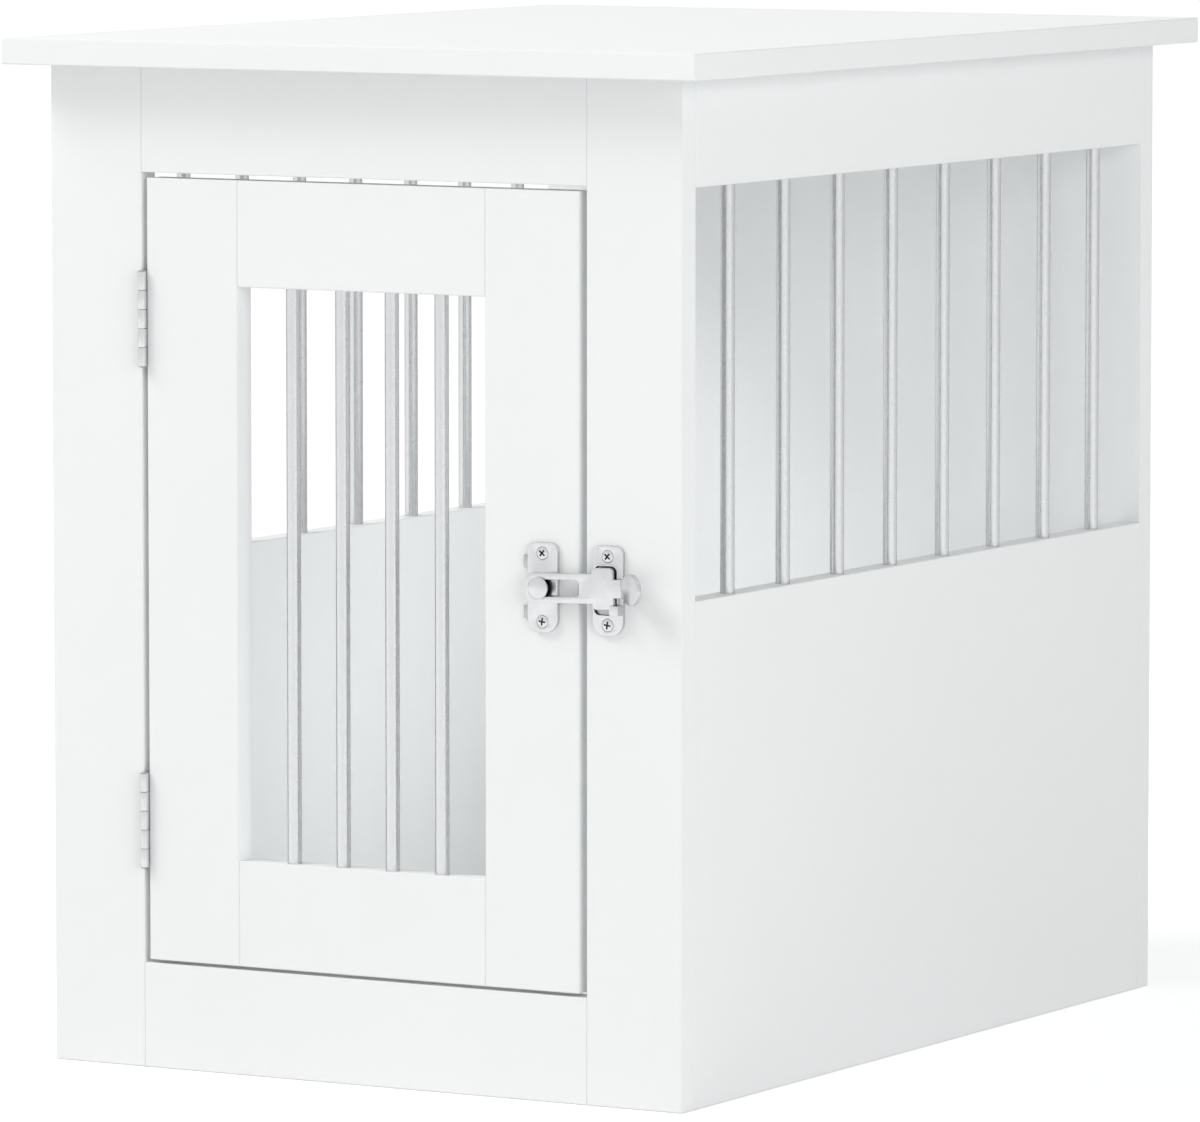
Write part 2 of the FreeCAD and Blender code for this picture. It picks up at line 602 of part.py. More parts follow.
def door_plate():
    """The plate on the door, with a low boss under the arm and two small lugs."""
    plate = latch_plate(pivot_x)
    boss = rod_between(point(pivot_x, front - PLATE_THICKNESS, LATCH_HEIGHT), -Y_AXIS,
                       BOSS_RISE, BOSS_DIAMETER)
    plate_left = pivot_x - PLATE_WIDTH / 2
    lugs = [block(plate_left - LUG_REACH, plate_left + CUT_MARGIN,
                  front - LUG_THICKNESS, front,
                  LATCH_HEIGHT + sign * LUG_SPACING / 2 - LUG_HEIGHT / 2,
                  LATCH_HEIGHT + sign * LUG_SPACING / 2 + LUG_HEIGHT / 2) for sign in (-1, 1)]
    plate = plate.fuse([boss] + lugs)
    bore = rod_between(point(pivot_x, front + CUT_MARGIN, LATCH_HEIGHT), -Y_AXIS,
                       PLATE_THICKNESS + BOSS_RISE + 2 * CUT_MARGIN,
                       PIVOT_SHANK_DIAMETER + 2 * PIVOT_RUNNING_FIT)
    seat_depth = PIVOT_FOOT_DEPTH + PIVOT_FOOT_HEIGHT + PIVOT_COLLAR_CLEARANCE
    seat = rod_between(point(pivot_x, front, LATCH_HEIGHT), -Y_AXIS, seat_depth,
                       PIVOT_FOOT_DIAMETER + 2 * PIVOT_RUNNING_FIT)
    return plate.cut([bore, seat]).removeSplitter()


def pivot_post():
    """The post that the arm turns and slides on: foot, shank, collar and domed cap."""
    foot_top = PIVOT_FOOT_DEPTH + PIVOT_FOOT_HEIGHT
    collar_start = PLATE_THICKNESS + BOSS_RISE + ARM_GAP / 2
    cap_start = PLATE_THICKNESS + BOSS_RISE + ARM_GAP + ARM_THICKNESS + ARM_GAP
    foot = PIVOT_FOOT_DIAMETER / 2
    shank = PIVOT_SHANK_DIAMETER / 2
    collar = SLOT_HEIGHT / 2 - PIVOT_COLLAR_CLEARANCE
    cap = PIVOT_CAP_DIAMETER / 2
    cap_edge = cap_start + PIVOT_CAP_EDGE
    profile = [(0, PIVOT_FOOT_DEPTH), (foot, PIVOT_FOOT_DEPTH), (foot, foot_top),
               (shank, foot_top), (shank, collar_start), (collar, collar_start),
               (collar, cap_start), (cap, cap_start)]
    profile += dome_profile(cap, cap_edge, PIVOT_CAP_DOME)
    return turned(profile, point(pivot_x, front, LATCH_HEIGHT), -Y_AXIS)


def slot_cutter():
    """The long slot in the arm, round at both ends; its left end is on the post."""
    half = SLOT_HEIGHT / 2
    start = point(pivot_x, arm_back + CUT_MARGIN, LATCH_HEIGHT)
    depth = ARM_THICKNESS + 2 * CUT_MARGIN
    round_end = rod_between(start, -Y_AXIS, depth, SLOT_HEIGHT)
    straight = block(pivot_x, slot_right, arm_front - CUT_MARGIN, arm_back + CUT_MARGIN,
                     LATCH_HEIGHT - half, LATCH_HEIGHT + half)
    corners = [e for e in straight.Edges if along_y(e) and e.CenterOfMass.x > pivot_x + half]
    return round_end.fuse(straight.makeFillet(HEAD_RADIUS, corners))


def finger_tab():
    """The round tab at the arm's end, bent outwards about the root line."""
    centre = TAB_DIAMETER / 2
    disc = rod_between(point(tab_root + centre, arm_back, LATCH_HEIGHT), -Y_AXIS,
                       ARM_THICKNESS, TAB_DIAMETER)
    root = block(tab_root, tab_root + centre, arm_front, arm_back,
                 LATCH_HEIGHT - NECK_HEIGHT / 2, LATCH_HEIGHT + NECK_HEIGHT / 2)
    tab = disc.fuse(root).removeSplitter()
    tab = ease_front(tab, arm_front, ARM_ROUND)
    fold = point(tab_root, arm_front, LATCH_HEIGHT)
    tab.rotate(fold, Z_AXIS, -TAB_ANGLE)
    return tab.fuse(fold_wedge())


def fold_wedge():
    """The rounded back of the bend between arm and tab."""
    z0 = LATCH_HEIGHT - NECK_HEIGHT / 2
    fold = point(tab_root, arm_front, z0)
    turn = math.radians(TAB_ANGLE)

    def back_point(angle):
        return point(tab_root + ARM_THICKNESS * math.sin(angle),
                     arm_front + ARM_THICKNESS * math.cos(angle), z0)

    arc = Part.Arc(back_point(0), back_point(turn / 2), back_point(turn)).toShape()
    wire = Part.Wire([Part.makeLine(fold, back_point(0)), arc,
                      Part.makeLine(back_point(turn), fold)])
    return Part.Face(wire).extrude(Z_AXIS * NECK_HEIGHT)


def latch_arm():
    """The flat arm, slightly tilted: slotted strap, T-shaped head, neck and finger tab."""
    strap = block(pivot_x - ARM_TAIL, head_left + HEAD_RADIUS, arm_front, arm_back,
                  LATCH_HEIGHT - ARM_HEIGHT / 2, LATCH_HEIGHT + ARM_HEIGHT / 2)
    tail = [e for e in strap.Edges if along_y(e) and e.CenterOfMass.x < pivot_x]
    strap = strap.makeFillet(ARM_TAIL_RADIUS, tail)
    head = block(head_left, head_right, arm_front, arm_back,
                 LATCH_HEIGHT - HEAD_HEIGHT / 2, LATCH_HEIGHT + HEAD_HEIGHT / 2)
    head = head.makeFillet(HEAD_RADIUS, [e for e in head.Edges if along_y(e)])
    neck = block(head_right - HEAD_RADIUS, tab_root, arm_front, arm_back,
                 LATCH_HEIGHT - NECK_HEIGHT / 2, LATCH_HEIGHT + NECK_HEIGHT / 2)
    flat = strap.fuse([head, neck]).removeSplitter().cut(slot_cutter())
    arm = flat.fuse(finger_tab()).removeSplitter()
    arm.rotate(point(pivot_x, arm_back, LATCH_HEIGHT), -Y_AXIS, ARM_TILT)
    return arm


def keeper():
    """The plate on the stile: a pocket with a raised bead, and the hook that holds the head."""
    plate = latch_plate(keeper_x)
    x0 = head_left - POCKET_BESIDE
    x1 = head_right + POCKET_BESIDE
    z0 = head_middle - HEAD_HEIGHT / 2 - POCKET_BELOW
    z1 = head_middle + HEAD_HEIGHT / 2 + POCKET_ABOVE
    face = front - PLATE_THICKNESS
    bead = rounded_plate(x0 - BEAD_WIDTH, x1 + BEAD_WIDTH, z0 - BEAD_WIDTH, z1 + BEAD_WIDTH,
                         face, BEAD_RISE, POCKET_RADIUS, POCKET_RADIUS)
    pocket = rounded_plate(x0, x1, z0, z1, front - POCKET_FLOOR,
                           PLATE_THICKNESS + BEAD_RISE + CUT_MARGIN, POCKET_RADIUS,
                           POCKET_RADIUS)
    plate = plate.fuse(bead).cut(pocket)
    return plate.fuse(keeper_hook()).removeSplitter()


def keeper_hook():
    """A wall beside the head and a small lip in front of its lower corner."""
    hook_bottom = head_middle - HEAD_HEIGHT / 2 - HOOK_DROP
    hook_top = drawn_tab - TAB_DIAMETER / 2 - HOOK_CLEARANCE
    base = front - POCKET_FLOOR / 2
    lip_back = arm_front - HOOK_CLEARANCE
    lip_front = lip_back - HOOK_LIP_THICKNESS
    wall = block(hook_inner, keeper_right, lip_front, base, hook_bottom, hook_top)
    lip = block(head_right - HOOK_LIP, keeper_right, lip_front, lip_back, hook_bottom, hook_top)
    return wall.fuse(lip)


def latch_screws(boards, nodes, plate_node, x_middle, stile):
    """The two screws of a latch plate, with their holes in plate and stile."""
    screws = []
    for sign in (-1, 1):
        place = point(x_middle, front - PLATE_THICKNESS,
                      LATCH_HEIGHT + sign * PLATE_SCREW_SPACING / 2)
        hole = screw_hole(place, Y_AXIS, LATCH_SCREW_DIAMETER, LATCH_SCREW_HEAD,
                          LATCH_SCREW_LENGTH)
        nodes[plate_node] = nodes[plate_node].cut(hole)
        boards[stile] = boards[stile].cut(hole)
        screws.append(countersunk_screw(place, Y_AXIS, LATCH_SCREW_DIAMETER, LATCH_SCREW_HEAD,
                                        LATCH_SCREW_LENGTH, LATCH_SCREW_DOME))
    return Part.makeCompound(screws)


def latch(carcass, door):
    """Both latch plates, the arm, its pivot and the screws."""
    nodes = {
        "latch_door_plate": door_plate(),
        "latch_pivot_post": pivot_post(),
        "latch_arm": latch_arm(),
        "latch_keeper": keeper(),
    }
    nodes["latch_door_screws"] = latch_screws(door, nodes, "latch_door_plate", pivot_x,
                                              "door_right_stile")
    nodes["latch_keeper_screws"] = latch_screws(carcass, nodes, "latch_keeper", keeper_x,
                                                "front_right_stile")
    return nodes


# ---------------------------------------------------------------- assembly

def build():
    """Every node's shape, by name."""
    carcass = carcass_boards()
    door = door_boards()
    nodes = {}
    nodes.update(side_rods(carcass, "left", left + BOARD / 2))
    nodes.update(side_rods(carcass, "right", right - BOARD / 2))
    nodes.update(door_rods(door))
    for name, solids in {**carcass_fittings(carcass), **door_fittings(door)}.items():
        nodes[name] = Part.makeCompound(solids)
    nodes.update(hinges(carcass, door))
    nodes.update(latch(carcass, door))
    nodes.update(carcass)
    nodes.update(door)
    return nodes


def main():
    os.makedirs("parts", exist_ok=True)
    for name, shape in sorted(build().items()):
        shape.exportStep(os.path.join("parts", name + ".step"))
        print("%-26s %3d solid(s) %10.1f mm3 valid %s"
              % (name, len(shape.Solids), shape.Volume, shape.isValid()))


main()
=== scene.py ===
"""Looks of a dog crate end table: white boards, steel rods, butt hinges and a flip latch.

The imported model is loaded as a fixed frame. Boards and hidden fittings keep their solids and get
finishes, and rods, screws, cam locks, hinges and the latch get pieces of their own. All lengths are
in metres, in the frame's own axes: +Z up, the door towards -Y, the latch towards +X.
"""

from __future__ import annotations

import json
import logging
import math
from dataclasses import dataclass
from enum import Enum
from typing import Iterable, Sequence

import bmesh
import bpy
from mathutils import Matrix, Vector
from mathutils.bvhtree import BVHTree

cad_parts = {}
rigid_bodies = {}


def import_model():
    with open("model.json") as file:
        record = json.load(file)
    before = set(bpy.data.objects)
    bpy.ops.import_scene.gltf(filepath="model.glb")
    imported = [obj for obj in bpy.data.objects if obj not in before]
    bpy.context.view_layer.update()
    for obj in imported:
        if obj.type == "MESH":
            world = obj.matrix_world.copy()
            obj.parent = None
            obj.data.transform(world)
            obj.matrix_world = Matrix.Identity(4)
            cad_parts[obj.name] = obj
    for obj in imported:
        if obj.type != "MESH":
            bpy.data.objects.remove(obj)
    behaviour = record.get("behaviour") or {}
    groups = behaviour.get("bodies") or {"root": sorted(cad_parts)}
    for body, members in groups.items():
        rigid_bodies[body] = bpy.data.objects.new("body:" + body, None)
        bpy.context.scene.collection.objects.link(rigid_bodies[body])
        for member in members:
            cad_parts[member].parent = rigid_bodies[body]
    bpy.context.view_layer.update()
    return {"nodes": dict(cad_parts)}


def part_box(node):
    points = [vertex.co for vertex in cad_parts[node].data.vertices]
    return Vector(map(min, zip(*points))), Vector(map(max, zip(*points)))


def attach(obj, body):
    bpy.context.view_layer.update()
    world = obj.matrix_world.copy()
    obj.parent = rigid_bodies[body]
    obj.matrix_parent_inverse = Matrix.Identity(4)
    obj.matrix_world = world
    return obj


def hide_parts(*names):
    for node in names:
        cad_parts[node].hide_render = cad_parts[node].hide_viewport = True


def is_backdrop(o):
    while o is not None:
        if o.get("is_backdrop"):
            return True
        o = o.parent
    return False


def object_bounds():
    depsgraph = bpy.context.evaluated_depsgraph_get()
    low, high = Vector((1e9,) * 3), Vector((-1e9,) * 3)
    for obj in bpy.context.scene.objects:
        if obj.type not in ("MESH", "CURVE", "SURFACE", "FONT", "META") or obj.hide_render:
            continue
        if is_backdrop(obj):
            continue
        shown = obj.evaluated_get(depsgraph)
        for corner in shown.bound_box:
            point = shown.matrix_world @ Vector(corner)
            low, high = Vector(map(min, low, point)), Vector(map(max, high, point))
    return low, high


MM = 0.001
MERGE = 0.001 * MM
SMOOTH_ANGLE = math.radians(32)
X_AXIS = Vector((1, 0, 0))
Y_AXIS = Vector((0, 1, 0))
Z_AXIS = Vector((0, 0, 1))
WHITE = (1.0, 1.0, 1.0, 1.0)

Colour = tuple[float, float, float]
Range = tuple[float, float]
Triple = tuple[float, float, float]
Object = bpy.types.Object
Material = bpy.types.Material
Socket = bpy.types.NodeSocket
Scalar = float | Socket
Station = tuple[Scalar, Scalar]

log = logging.getLogger("crate")


def added(name: str, data: bpy.types.ID) -> Object:
    """Put data in the scene as an object.

    Args:
        name: the object's name.
        data: its mesh, lamp or camera.

    Returns:
        The object.
    """
    holder = bpy.data.objects.new(name, data)
    bpy.context.scene.collection.objects.link(holder)
    return holder


# ---- writing node trees


class NodeWriter:
    """Writes a node tree one node at a time."""

    def __init__(self, tree: bpy.types.NodeTree) -> None:
        """Write in the given shader or geometry tree."""
        self.tree = tree

    def feed(self, entry: Socket, value: object) -> None:
        """Link a node's input to a socket, or set it to a plain value.

        Args:
            entry: the input.
            value: the socket or the value.
        """
        if isinstance(value, Socket):
            self.tree.links.new(value, entry)
        else:
            entry.default_value = value

    def add(self, kind: str, inputs: dict | None = None, **settings: object) -> bpy.types.Node:
        """Add a node.

        Args:
            kind: Blender's name of the node's type.
            inputs: values or sockets for its inputs, by name or number.
            settings: the node's own settings.

        Returns:
            The new node.
        """
        node = self.tree.nodes.new(kind)
        for name, value in settings.items():
            setattr(node, name, value)
        for key, value in (inputs or {}).items():
            self.feed(node.inputs[key], value)
        return node

    def math(self, operation: str, first: Scalar, second: Scalar = 0.0) -> Socket:
        """One step of arithmetic on two numbers."""
        return self.add("ShaderNodeMath", {0: first, 1: second}, operation=operation).outputs[0]

    def vector(self, operation: str, first: object, second: object = (0, 0, 0)) -> Socket:
        """One step of arithmetic on two vectors."""
        node = self.add("ShaderNodeVectorMath", {0: first, 1: second}, operation=operation)
        return node.outputs["Value" if operation in ("LENGTH", "DOT_PRODUCT") else "Vector"]

    def parts(self, vector: Socket) -> Iterable[Socket]:
        """The X, Y and Z of a vector."""
        return self.add("ShaderNodeSeparateXYZ", {0: vector}).outputs

    def spread(self, value: Scalar, low: float, high: float, source: Range = (0.3, 0.7)) -> Socket:
        """Map a value from the source's range to the range from low to high, and hold it there."""
        ends = {"From Min": source[0], "From Max": source[1], "To Min": low, "To Max": high}
        return self.add("ShaderNodeMapRange", {"Value": value, **ends}).outputs[0]


# ---- finishes


class ShaderWriter(NodeWriter):
    """Writes one surface material on Object coordinates."""

    def __init__(self, name: str) -> None:
        """Start a material.

        Args:
            name: its name.
        """
        self.material = bpy.data.materials.new(name)
        self.material.use_nodes = True
        super().__init__(self.material.node_tree)
        self.shader = self.tree.nodes["Principled BSDF"]
        self.place = self.add("ShaderNodeTexCoord").outputs["Object"]

    def noise(self, scale: float | Triple, detail: float = 2.0) -> Socket:
        """Noise about 0.5, of one scale or of one for each axis, with so many octaves."""
        place = self.vector("MULTIPLY", self.place, scale if isinstance(scale, tuple) else (scale,) * 3)
        return self.add("ShaderNodeTexNoise", {"Vector": place, "Scale": 1.0, "Detail": detail}).outputs[0]

    def tint(self, colour: Colour, shade: Scalar) -> Socket:
        """A colour made lighter or darker by a factor."""
        return self.add("ShaderNodeVectorMath", {0: colour, "Scale": shade}, operation="SCALE").outputs[0]

    def relief(self, height: Scalar, depth: float) -> Socket:
        """The normal bent by heights from 0 to 1, of which 1 is the depth in metres."""
        return self.add("ShaderNodeBump", {"Height": height, "Distance": depth}).outputs[0]

    def set(self, **inputs: object) -> None:
        """Set inputs of the surface shader by their names, with spaces written as underscores."""
        for name, value in inputs.items():
            self.feed(self.shader.inputs[name.replace("_", " ")], value)


@dataclass(frozen=True)
class MelamineBoard:
    """White melamine facing: fine pearl emboss, faint clouding, glued edge band, rougher arrises with
    painted shade along them.

    Here and in the other finishes, scales are features per metre and shades are factors on the colour.
    """

    colour: Colour = (0.880, 0.893, 0.893)
    edge_band: float = 0.6 * MM
    band_joint: float = 0.12 * MM
    joint_darkening: float = 0.03
    arris: float = 1.1 * MM
    # painted shade along each arris, as a factor taken off the colour
    arris_painted_shade: float = 0.045
    arris_roughness: float = 0.08
    cloud_scale: float = 7.0
    cloud_shade: Range = (0.992, 1.006)
    fleck_scale: float = 1400.0
    fleck_shade: Range = (0.990, 1.006)
    pearl_scale: float = 1100.0
    pearl_share: float = 0.6
    grain_along: float = 35.0
    grain_across: float = 900.0
    emboss: float = 0.012 * MM
    roughness: Range = (0.34, 0.46)
    gloss: float = 0.42

    def material(self, name: str, low: Vector, high: Vector) -> Material:
        """Make the finish for one board.

        Args:
            name: the material's name.
            low: the board's lowest corner.
            high: the board's highest corner.

        Returns:
            The material, whose edges follow the board's own.
        """
        writer = ShaderWriter(name)
        edge = self.edge_distance(writer, low, high)
        # painted shade: the colour darkens towards each arris, where eased edges would shade; the arris
        # also turns rougher
        arris_shade_and_wear = writer.spread(edge, 1.0, 0.0, (0.0, self.arris))
        offset = writer.math("ABSOLUTE", writer.math("SUBTRACT", edge, self.edge_band))
        joint = writer.spread(offset, 1.0, 0.0, (0.0, self.band_joint))
        cloud = writer.spread(writer.noise(self.cloud_scale), *self.cloud_shade)
        fleck = writer.spread(writer.noise(self.fleck_scale, detail=4), *self.fleck_shade)
        arris_shade_and_joint = writer.math("ADD", writer.math("MULTIPLY", arris_shade_and_wear, self.arris_painted_shade),
                            writer.math("MULTIPLY", joint, self.joint_darkening))
        shade = writer.math("SUBTRACT", writer.math("MULTIPLY", cloud, fleck), arris_shade_and_joint)
        pearl = writer.noise(self.pearl_scale, detail=3)
        grain = writer.noise(self.grain_scale(high - low), detail=3)
        height = writer.math("ADD", writer.math("MULTIPLY", pearl, self.pearl_share),
                             writer.math("MULTIPLY", grain, 1 - self.pearl_share))
        rough = writer.math("ADD", writer.spread(pearl, *self.roughness),
                            writer.math("MULTIPLY", arris_shade_and_wear, self.arris_roughness))
        writer.set(Base_Color=writer.tint(self.colour, shade), Roughness=rough,
                   Normal=writer.relief(height, self.emboss), Specular_IOR_Level=self.gloss)
        return writer.material

    def edge_distance(self, writer: ShaderWriter, low: Vector, high: Vector) -> Socket:
        """How far a point of the board's surface lies from the nearest arris.

        Args:
            writer: the material's writer.
            low: the board's lowest corner.
            high: the board's highest corner.

        Returns:
            The distance's socket: the middle one of the distances to the three pairs of faces.
        """
        above = writer.vector("SUBTRACT", writer.place, tuple(low))
        below = writer.vector("SUBTRACT", tuple(high), writer.place)
        x, y, z = writer.parts(writer.vector("MINIMUM", above, below))
        least = writer.math("MINIMUM", x, y)
        most = writer.math("MAXIMUM", x, y)
        return writer.math("MAXIMUM", least, writer.math("MINIMUM", most, z))

    def grain_scale(self, size: Vector) -> Triple:
        """Noise scale of the embossed grain, drawn out along the board's longest side."""
        return tuple(self.grain_along if side == max(size) else self.grain_across for side in size)


@dataclass(frozen=True)
class DrawnMetal:
    """Metal with fine lines along Z and a faint mottling, as on a drawn upright rod."""

    colour: Colour
    roughness: float
    line_scale: Triple = (2600.0, 2600.0, 25.0)
    line_shade: Range = (0.985, 1.012)
    line_roughness: Range = (-0.015, 0.025)
    line_depth: float = 0.0002 * MM
    mottle_scale: Triple = (160.0, 160.0, 90.0)
    mottle: float = 0.025
    mottle_roughness: Range = (-0.05, 0.05)
    edge_tint: Colour = (0.6, 0.61, 0.63)

    def material(self, name: str) -> Material:
        """Make the finish.

        Args:
            name: the material's name.

        Returns:
            The material.
        """
        writer = ShaderWriter(name)
        lines = writer.noise(self.line_scale, detail=3)
        mottle = writer.noise(self.mottle_scale, detail=4)
        shade = writer.math("MULTIPLY", writer.spread(lines, *self.line_shade),
                            writer.spread(mottle, 1 - self.mottle, 1 + self.mottle))
        smooth, dull = (self.roughness + part for part in self.mottle_roughness)
        rough = writer.math("ADD", writer.spread(mottle, smooth, dull),
                            writer.spread(lines, *self.line_roughness))
        writer.set(Base_Color=writer.tint(self.colour, shade), Metallic=1.0, Roughness=rough,
                   Normal=writer.relief(lines, self.line_depth), Specular_Tint=(*self.edge_tint, 1.0))
        return writer.material


# how far painted shade behind a plane reaches into the metal and sideways: past any part
PAINTED_SHADE_DEPTH = 0.1
PAINTED_SHADE_WIDTH = 2.0


@dataclass(frozen=True)
class PaintedShade:
    """A patch of painted shade on plated metal: a box that reaches so far each way, or a disc seen along Y.
    """

    centre: Vector
    reach: Vector
    shade: float
    fade: float = 0.35 * MM
    disc: bool = False

    @classmethod
    def behind(cls, point: Vector, facing: Vector, *look: float) -> PaintedShade:
        """Painted shade on all behind a plane that faces along an axis, with its shade and perhaps its
        fade.
        """
        reach = Vector(PAINTED_SHADE_DEPTH if part else PAINTED_SHADE_WIDTH for part in facing)
        return cls(point - facing * PAINTED_SHADE_DEPTH, reach, *look)

    def factor(self, writer: ShaderWriter) -> Socket:
        """How much the painted shade darkens each point.

        Args:
            writer: the material's writer.

        Returns:
            A socket that is 1 outside the patch and the shade within it.
        """
        offset = writer.vector("SUBTRACT", writer.place, tuple(self.centre))
        if self.disc:
            flat = writer.vector("MULTIPLY", offset, (1.0, 0.0, 1.0))
            depth = writer.math("SUBTRACT", self.reach.x, writer.vector("LENGTH", flat))
        else:
            inner = writer.vector("SUBTRACT", tuple(self.reach), writer.vector("ABSOLUTE", offset))
            x, y, z = writer.parts(inner)
            depth = writer.math("MINIMUM", x, writer.math("MINIMUM", y, z))
        return writer.spread(depth, 1.0, self.shade, (0.0, self.fade))


@dataclass(frozen=True)
class PlatedMetal:
    """Satin plating over stamped or cast metal: even, with a soft grain and small tarnish clouds."""

    colour: Colour
    roughness: float
    grain: float = 1900.0
    grain_shade: Range = (0.97, 1.03)
    grain_roughness: Range = (-0.03, 0.04)
    grain_depth: float = 0.006 * MM
    cloud_scale: float = 130.0
    cloud_roughness: Range = (0.05, -0.04)
    tarnish: float = 0.05

    def material(self, name: str, painted_shades: Sequence[PaintedShade] = ()) -> Material:
        """Make the finish.

        Args:
            name: the material's name.
            painted_shades: where shade is painted into the metal's colour.

        Returns:
            The material.
        """
        writer = ShaderWriter(name)
        grain = writer.noise(self.grain, detail=4)
        cloud = writer.noise(self.cloud_scale, detail=3)
        shade = writer.math("MULTIPLY", writer.spread(grain, *self.grain_shade),
                            writer.spread(cloud, 1 - self.tarnish, 1 + self.tarnish / 2))
        # painted shade: each patch darkens the colour where shade falls
        for shade_patch in painted_shades:
            shade = writer.math("MULTIPLY", shade, shade_patch.factor(writer))
        dull, clean = (self.roughness + part for part in self.cloud_roughness)
        rough = writer.math("ADD", writer.spread(cloud, dull, clean),
                            writer.spread(grain, *self.grain_roughness))
        writer.set(Base_Color=writer.tint(self.colour, shade), Metallic=1.0, Roughness=rough,
                   Normal=writer.relief(grain, self.grain_depth))
        return writer.material


@dataclass(frozen=True)
class BareBeech:
    """Unfinished beech with faint rings and small dark flecks."""

    colour: Colour = (0.56, 0.36, 0.19)
    ring_scale: float = 120.0
    ring_shade: Range = (0.86, 1.08)
    fleck_scale: float = 900.0
    fleck_shade: Range = (1.0, 0.82)
    fleck_edge: Range = (0.55, 0.72)
    fleck_depth: float = 0.03 * MM
    roughness: Range = (0.75, 0.6)
    roughness_edge: Range = (0.8, 1.0)

    def material(self, name: str) -> Material:
        """Make the finish.

        Args:
            name: the material's name.

        Returns:
            The material.
        """
        writer = ShaderWriter(name)
        rings = writer.spread(writer.noise(self.ring_scale), *self.ring_shade)
        flecks = writer.spread(writer.noise(self.fleck_scale, detail=3), *self.fleck_shade, self.fleck_edge)
        writer.set(Base_Color=writer.tint(self.colour, writer.math("MULTIPLY", rings, flecks)),
                   Roughness=writer.spread(flecks, *self.roughness, self.roughness_edge),
                   Normal=writer.relief(flecks, self.fleck_depth))
        return writer.material


@dataclass(frozen=True)
class PaleFloor:
    """Plain white studio floor that shows the object's shadow and fades into white far away."""

    colour: Colour = (0.82, 0.82, 0.82)
    grain_scale: float = 3.0
    grain_shade: Range = (0.995, 1.005)
    roughness: float = 0.9
    gloss: float = 0.1
    lift: Range = (0.42, 0.56)
    fade: Range = (1.5, 9.0)

    def material(self, name: str) -> Material:
        """Make the finish.

        Args:
            name: the material's name.

        Returns:
            The material.
        """
        writer = ShaderWriter(name)
        shade = writer.spread(writer.noise(self.grain_scale), *self.grain_shade)
        lift = writer.spread(writer.vector("LENGTH", writer.place), *self.lift, self.fade)
        writer.set(Base_Color=writer.tint(self.colour, shade), Roughness=self.roughness,
                   Specular_IOR_Level=self.gloss, Emission_Color=WHITE,
                   Emission_Strength=writer.math("MULTIPLY", seen_directly(writer), lift))
        return writer.material


def seen_directly(writer: NodeWriter) -> Socket:
    """1 for rays that show the background itself: from the camera, off gloss or through glass.

    Args:
        writer: the tree to write in.

    Returns:
        The socket.
    """
    path = writer.add("ShaderNodeLightPath").outputs
    seen = writer.math("MAXIMUM", path["Is Camera Ray"], path["Is Glossy Ray"])
    return writer.math("MAXIMUM", seen, path["Is Transmission Ray"])


class Slot(Enum):
    """The record's slots but the boards', whose finishes follow each board's own edges."""

    ROD = "rod_steel"
    NICKEL = "nickel"
    ZINC = "zinc_fitting"
    BEECH = "beech_dowel"


FINISHES = {
    Slot.ROD: DrawnMetal(colour=(0.64, 0.65, 0.655), roughness=0.27),
    Slot.NICKEL: PlatedMetal(colour=(0.65, 0.66, 0.67), roughness=0.30, tarnish=0.04),
    Slot.ZINC: PlatedMetal(colour=(0.50, 0.51, 0.52), roughness=0.48, grain=1200.0,
                           grain_depth=0.02 * MM, tarnish=0.1),
    Slot.BEECH: BareBeech(),
}


class SharedFinishes(dict):
    """The plain material of each slot, made when it is first asked for."""

    def __missing__(self, slot: Slot) -> Material:
        """Make a slot's material."""
        return self.setdefault(slot, FINISHES[slot].material(slot.value))


# ---- repeated solids


@dataclass(frozen=True)
class Place:
    """Where a repeated solid stands: its foot, the way it faces and the way its cross lies."""

    foot: Vector
    facing: Vector
    along: Vector


